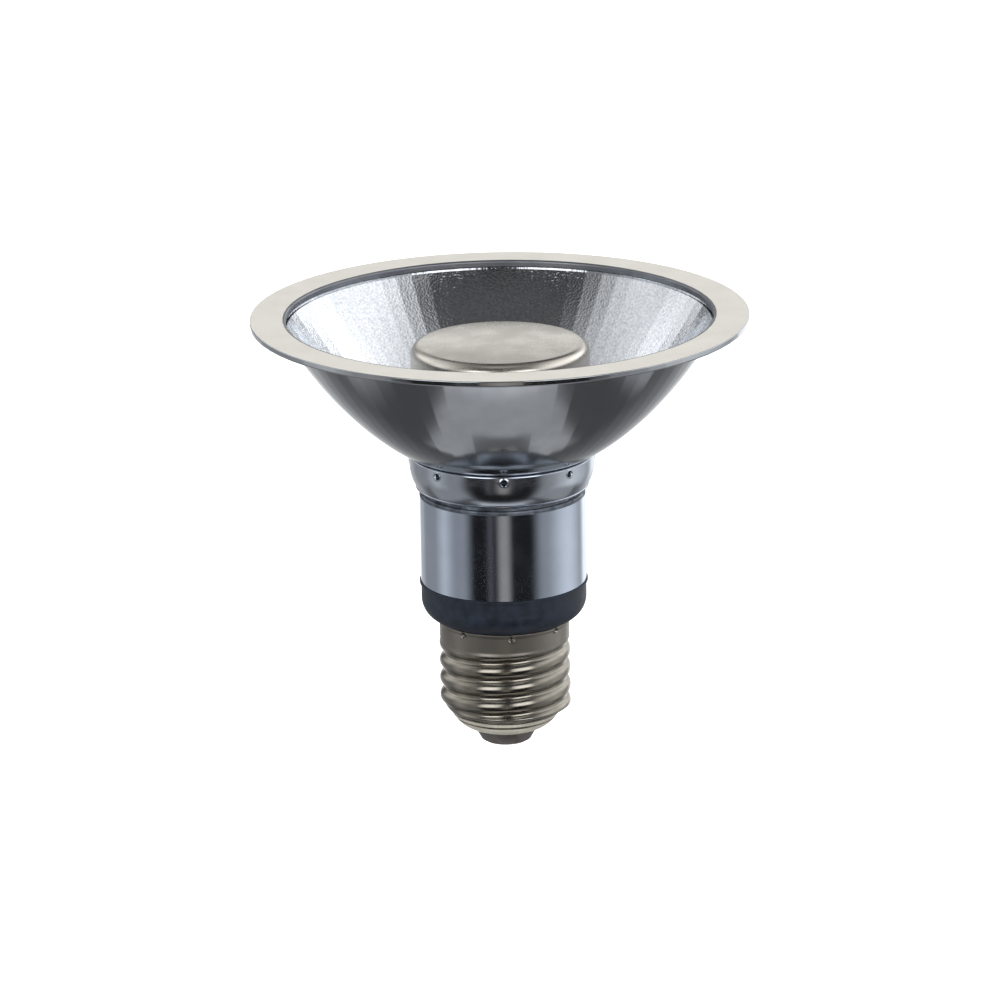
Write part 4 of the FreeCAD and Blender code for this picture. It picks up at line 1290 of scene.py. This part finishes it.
@dataclass(frozen=True)
class Panel:
    """A soft light round the studio that polished metal mirrors. Angles are in degrees.

    Attributes:
        azimuth: 0 towards the camera, 90 to its right, 180 to the backdrop.
        elevation: Height of its middle above the horizon.
        half_width: Half its width.
        half_height: Half its height.
        level: Its brightness, where 1 is white.
        softness: Width over which its edges fade.
        colour: Its colour in sRGB hex.
    """

    azimuth: float
    elevation: float
    half_width: float
    half_height: float
    level: float
    softness: float
    colour: str = "#ffffff"


@dataclass(frozen=True)
class FloorCard:
    """A card laid under the lamp that polished metal mirrors, measured in the lamp's height above it.

    Attributes:
        right: How far right of straight below its middle lies.
        back: How far behind it.
        half_width: Half its width.
        half_depth: Half its depth.
        level: What it adds to the brightness there, where 1 is white. A dark card takes away.
        softness: Width over which its edges fade.
    """

    right: float
    back: float
    half_width: float
    half_depth: float
    level: float
    softness: float


@dataclass(frozen=True)
class SoftLamp:
    """A square soft lamp that points at the middle of the spot lamp and shows in no reflection.

    Attributes:
        name: Its name.
        place: Where it stands, in millimetres.
        size: Length of its side in millimetres.
        power: Its power in watts.
    """

    name: str
    place: Point3
    size: float
    power: float

    def build(self) -> None:
        """Adds the lamp to the scene."""
        data = bpy.data.lights.new(self.name, "AREA")
        data.size = self.size * MM
        data.energy = self.power
        lamp = bpy.data.objects.new(self.name, data)
        lamp.location = Vector(self.place) * MM
        aim = Vector((0, 0, MIDDLE_HEIGHT * MM)) - lamp.location
        lamp.rotation_euler = aim.to_track_quat("-Z", "Y").to_euler()
        lamp.visible_glossy = False
        bpy.context.scene.collection.objects.link(lamp)


@dataclass
class Studio:
    """The floor, the soft lamps and the surroundings that the metal mirrors.

    Attributes:
        floor_height: Height of the floor, far enough below the lamp to take only a soft shadow.
        floor_half: Half the floor's side.
        floor_colour: The floor's colour as it lights the lamp.
        backdrop_colour: The colour of the floor and the surroundings to the camera.
        fill_level: Level of the light from all round on what isn't polished.
        dark_level: Brightness between the panels.
        card_least: The least brightness below the lamp.
        ground: Two places behind the lamp, in its heights above the ground, between which the
            ground gets brighter.
        ground_levels: The ground's brightness at these places.
        sink: Two elevations in degrees between which the ground takes over from the panels.
        front_edge: Two places in front of the lamp between which the ground starts.
        least_drop: Least drop of a direction, so that none near the horizon is divided by zero.
        panels: The soft lights round the lamp.
        cards: The cards on the ground.
        lamps: The lamps that light it.
    """

    floor_height: float = -300.0
    floor_half: float = 20000.0
    floor_colour: str = "#f4f4f3"
    backdrop_colour: str = "#ffffff"
    fill_level: float = 0.62
    dark_level: float = 0.015
    card_least: float = 0.035
    ground: tuple[float, float] = (0.6, 2.4)
    ground_levels: tuple[float, float] = (0.09, 0.6)
    sink: tuple[float, float] = (-26.0, -36.0)
    front_edge: tuple[float, float] = (-0.6, -0.35)
    least_drop: float = 0.05
    panels: tuple[Panel, ...] = (
        # A warm strip towards the camera and a faint one to its left
        Panel(1, -18, 8, 20, 0.38, 12, "#fff4e8"),
        Panel(-18, -20, 4, 20, 0.08, 8),
        # Wide walls at both sides, brighter in their middle and high up
        Panel(-98, -15, 49, 48, 0.34, 20),
        Panel(-90, -15, 10, 40, 0.32, 24),
        Panel(98, -15, 50, 48, 0.34, 22),
        Panel(102, -15, 22, 40, 0.50, 44),
        Panel(104, 38, 38, 17, 1.2, 40),
        Panel(-112, 38, 42, 17, 0.85, 44),
        # The bright backdrop, its corners and its foot
        Panel(169, 2, 28, 22, 1.05, 20),
        Panel(130, 17, 14, 14, 0.7, 14),
        Panel(-130, 17, 14, 14, 0.45, 14),
        Panel(180, -28, 36, 22, 0.47, 16),
        # Two bright windows for the flutes at the bowl's back, and a dim one beside them
        Panel(-29, 17, 17, 20, 2.6, 12),
        Panel(29, 17, 17, 20, 2.6, 12),
        Panel(62, 19, 17, 23, 0.3, 16),
        # The dim upper walls and the ceiling
        Panel(0, 68, 180, 22, 0.085, 14),
        Panel(0, 90, 180, 14, 0.3, 10),
    )
    # A bright card and a dark one behind it, a strip in front of them and a wide card at each side
    cards: tuple[FloorCard, ...] = (
        FloorCard(0.0, 0.13, 0.32, 0.42, 0.36, 0.06),
        FloorCard(0.0, 0.5, 0.13, 0.33, -0.3, 0.06),
        FloorCard(0.0, -0.27, 0.5, 0.12, 0.28, 0.1),
        FloorCard(-1.65, -0.2, 1.0, 0.85, 0.28, 0.25),
        FloorCard(1.65, -0.2, 1.0, 0.85, 0.30, 0.12),
    )
    lamps: tuple[SoftLamp, ...] = (
        SoftLamp("key_lamp", (650.0, -500.0, 800.0), 600.0, 4.2),
        SoftLamp("fill_lamp", (-800.0, -400.0, 600.0), 700.0, 2.8),
        SoftLamp("back_lamp", (0.0, 800.0, 700.0), 700.0, 1.9),
    )

    def paper(self) -> bpy.types.Material:
        """Makes the floor's material: white to the camera, clear from below.

        Returns:
            The material.
        """
        made = bpy.data.materials.new("white_studio_paper")
        made.use_nodes = True
        tree = made.node_tree
        tree.nodes.clear()
        path = add_node(tree, "LightPath")
        side = add_node(tree, "NewGeometry")
        matt = add_node(tree, "BsdfDiffuse", {"Color": linear(self.floor_colour)})
        seen = add_node(tree, "Emission",
                        {"Color": linear(self.backdrop_colour), "Strength": path.outputs["Is Camera Ray"]})
        both = add_node(tree, "AddShader", {0: matt, 1: seen})
        clear = add_node(tree, "BsdfTransparent")
        mixed = add_node(tree, "MixShader", {0: side.outputs["Backfacing"], 1: both, 2: clear})
        add_node(tree, "OutputMaterial", {"Surface": mixed})
        return made

    def floor(self) -> None:
        """Makes the pale floor, which no reflection shows."""
        half = self.floor_half * MM
        level = self.floor_height * MM
        corners = [(x * half, y * half, level) for x, y in ((-1, -1), (1, -1), (1, 1), (-1, 1))]
        mesh = bpy.data.meshes.new("studio_floor")
        mesh.from_pydata(corners, [], [(0, 1, 2, 3)])
        mesh.materials.append(self.paper())
        floor = bpy.data.objects.new("studio_floor", mesh)
        floor.visible_glossy = False
        bpy.context.scene.collection.objects.link(floor)

    def window(self, tree: bpy.types.NodeTree, value: Source, middle: float, half: float,
               softness: float) -> Source:
        """Finds how far inside a stretch a value lies.

        Args:
            tree: The world's tree.
            value: The value.
            middle: The stretch's middle.
            half: Half its length.
            softness: The length over which its ends fade.

        Returns:
            One inside the stretch, zero outside.
        """
        off = add_node(tree, "Math", {0: value, 1: middle}, operation="SUBTRACT")
        away = add_node(tree, "Math", {0: off}, operation="ABSOLUTE")
        return add_node(tree, "MapRange",
                        {"Value": away, "From Min": half + softness / 2, "From Max": half - softness / 2},
                        interpolation_type="SMOOTHSTEP")

    def round_about(self, tree: bpy.types.NodeTree, level: Source, elevation: Source) -> Source:
        """Adds the panels round the lamp.

        Args:
            tree: The world's tree.
            level: The direction's level part.
            elevation: The direction's elevation in degrees.

        Returns:
            The colour for each direction.
        """
        total: object = [self.dark_level] * 3
        for panel in self.panels:
            turn = math.radians(panel.azimuth)
            towards = (math.sin(turn), -math.cos(turn), 0.0)
            facing = add_node(tree, "VectorMath", {0: level, 1: towards}, operation="DOT_PRODUCT")
            angle = add_node(tree, "Math", {0: facing.outputs["Value"]}, operation="ARCCOSINE")
            degrees = add_node(tree, "Math", {0: angle}, operation="DEGREES")
            beside = self.window(tree, degrees, 0.0, panel.half_width, panel.softness)
            above = self.window(tree, elevation, panel.elevation, panel.half_height, panel.softness)
            inside = add_node(tree, "Math", {0: beside, 1: above}, operation="MULTIPLY")
            light = [part * panel.level for part in linear(panel.colour)[:3]]
            total = add_node(tree, "VectorMath", {0: light, 1: inside, 2: total},
                             operation="MULTIPLY_ADD")
        return total

    def below(self, tree: bpy.types.NodeTree, right: Source, back: Source) -> Source:
        """Adds the ground below the lamp, with its cards.

        Args:
            tree: The world's tree.
            right: How far right a direction meets the ground, in heights of the lamp above it.
            back: How far behind, in the same measure.

        Returns:
            The brightness there.
        """
        shade = add_node(tree, "MapRange",
                         {"Value": back, "From Min": self.ground[0], "From Max": self.ground[1],
                          "To Min": self.ground_levels[0], "To Max": self.ground_levels[1]})
        for card in self.cards:
            beside = self.window(tree, right, card.right, card.half_width, card.softness)
            along = self.window(tree, back, card.back, card.half_depth, card.softness)
            inside = add_node(tree, "Math", {0: beside, 1: along}, operation="MULTIPLY")
            shade = add_node(tree, "Math", {0: inside, 1: card.level, 2: shade},
                             operation="MULTIPLY_ADD")
        return add_node(tree, "Math", {0: shade, 1: self.card_least}, operation="MAXIMUM")

    def surroundings(self, tree: bpy.types.NodeTree) -> Source:
        """Adds what polished metal mirrors: the panels round the lamp and the ground below it.

        Args:
            tree: The world's tree.

        Returns:
            The colour for each direction.
        """
        direction = add_node(tree, "TexCoord").outputs["Generated"]
        parts = add_node(tree, "SeparateXYZ", {"Vector": direction}).outputs
        rise = add_node(tree, "Math", {0: parts["Z"]}, operation="ARCSINE")
        elevation = add_node(tree, "Math", {0: rise}, operation="DEGREES")
        flat = add_node(tree, "CombineXYZ", {"X": parts["X"], "Y": parts["Y"]})
        level = add_node(tree, "VectorMath", {0: flat}, operation="NORMALIZE")
        around = self.round_about(tree, level, elevation)
        down = add_node(tree, "Math", {0: parts["Z"], 1: -1.0}, operation="MULTIPLY")
        drop = add_node(tree, "Math", {0: down, 1: self.least_drop}, operation="MAXIMUM")
        right = add_node(tree, "Math", {0: parts["X"], 1: drop}, operation="DIVIDE")
        back = add_node(tree, "Math", {0: parts["Y"], 1: drop}, operation="DIVIDE")
        ground = self.below(tree, right, back)
        sunk, near = (add_node(tree, "MapRange",
                               {"Value": value, "From Min": limits[0], "From Max": limits[1]},
                               interpolation_type="SMOOTHSTEP")
                      for value, limits in ((elevation, self.sink), (back, self.front_edge)))
        share = add_node(tree, "Math", {0: sunk, 1: near}, operation="MULTIPLY")
        seen = add_node(tree, "Mix", {MIX_FACTOR: share, MIX_FIRST: around, MIX_SECOND: ground},
                        data_type="RGBA")
        return seen.outputs[MIX_RESULT]

    def world(self) -> None:
        """Sets the world: white to the camera, a plain level for matt surfaces, the studio for gloss."""
        world = bpy.data.worlds.new("studio")
        world.use_nodes = True
        # Its panels show to mirror rays alone, so it isn't sampled as a lamp
        world.cycles.sampling_method = "NONE"
        bpy.context.scene.world = world
        tree = world.node_tree
        tree.nodes.clear()
        path = add_node(tree, "LightPath").outputs
        fill = (self.fill_level, self.fill_level, self.fill_level, 1.0)
        gloss = add_node(tree, "Mix",
                         {MIX_FACTOR: path["Is Glossy Ray"], MIX_FIRST: fill,
                          MIX_SECOND: self.surroundings(tree)}, data_type="RGBA")
        open_view = add_node(tree, "Math", {0: path["Is Camera Ray"], 1: path["Is Transmission Ray"]},
                             operation="MAXIMUM")
        shown = add_node(tree, "Mix",
                         {MIX_FACTOR: open_view, MIX_FIRST: gloss.outputs[MIX_RESULT],
                          MIX_SECOND: linear(self.backdrop_colour)}, data_type="RGBA")
        glow = add_node(tree, "Background", {"Color": shown.outputs[MIX_RESULT]})
        add_node(tree, "OutputWorld", {"Surface": glow})

    def build(self) -> None:
        """Makes the floor, the world and the lamps."""
        self.floor()
        self.world()
        for lamp in self.lamps:
            lamp.build()


@dataclass
class Camera:
    """The camera at the photograph's viewing angle.

    Attributes:
        eye: Where it stands, in millimetres.
        aim: What it looks at, in millimetres.
        roll: How far it is turned about its line of sight, in degrees.
        lens: Its focal length in millimetres.
        sensor: Width of its sensor in millimetres.
    """

    eye: Point3 = (-0.51, -1200.0, 410.476)
    aim: Point3 = (-0.51, 0.0, 49.884)
    roll: float = -0.945
    lens: float = 227.39
    sensor: float = 36.0

    def build(self) -> None:
        """Makes the camera and gives it to the scene."""
        data = bpy.data.cameras.new("photo_camera")
        data.lens = self.lens
        data.sensor_width = self.sensor
        camera = bpy.data.objects.new("photo_camera", data)
        camera.location = Vector(self.eye) * MM
        sight = (Vector(self.aim) - Vector(self.eye)).to_track_quat("-Z", "Y")
        camera.rotation_mode = "QUATERNION"
        camera.rotation_quaternion = sight @ Quaternion((0.0, 0.0, 1.0), math.radians(self.roll))
        bpy.context.scene.collection.objects.link(camera)
        bpy.context.scene.camera = camera


def main() -> None:
    """Builds the lamp's pieces in order, then the studio and the camera."""
    logging.basicConfig(level=logging.INFO, format="%(name)s: %(message)s")
    bpy.context.scene.view_settings.view_transform = "Standard"
    for part in (ReflectorBowl(), GlareCap(), CollarRing(), HousingCan(), ScrewShell(), BaseInsulator()):
        piece = part.build()
        LOG.info("%s: %d faces", piece.name, len(piece.data.polygons))
    for group in (LightEngine(), Driver()):
        LOG.info("%s: %s", type(group).__name__, ", ".join(group.build()))
    Studio().build()
    Camera().build()


if __name__ == "__main__":
    main()
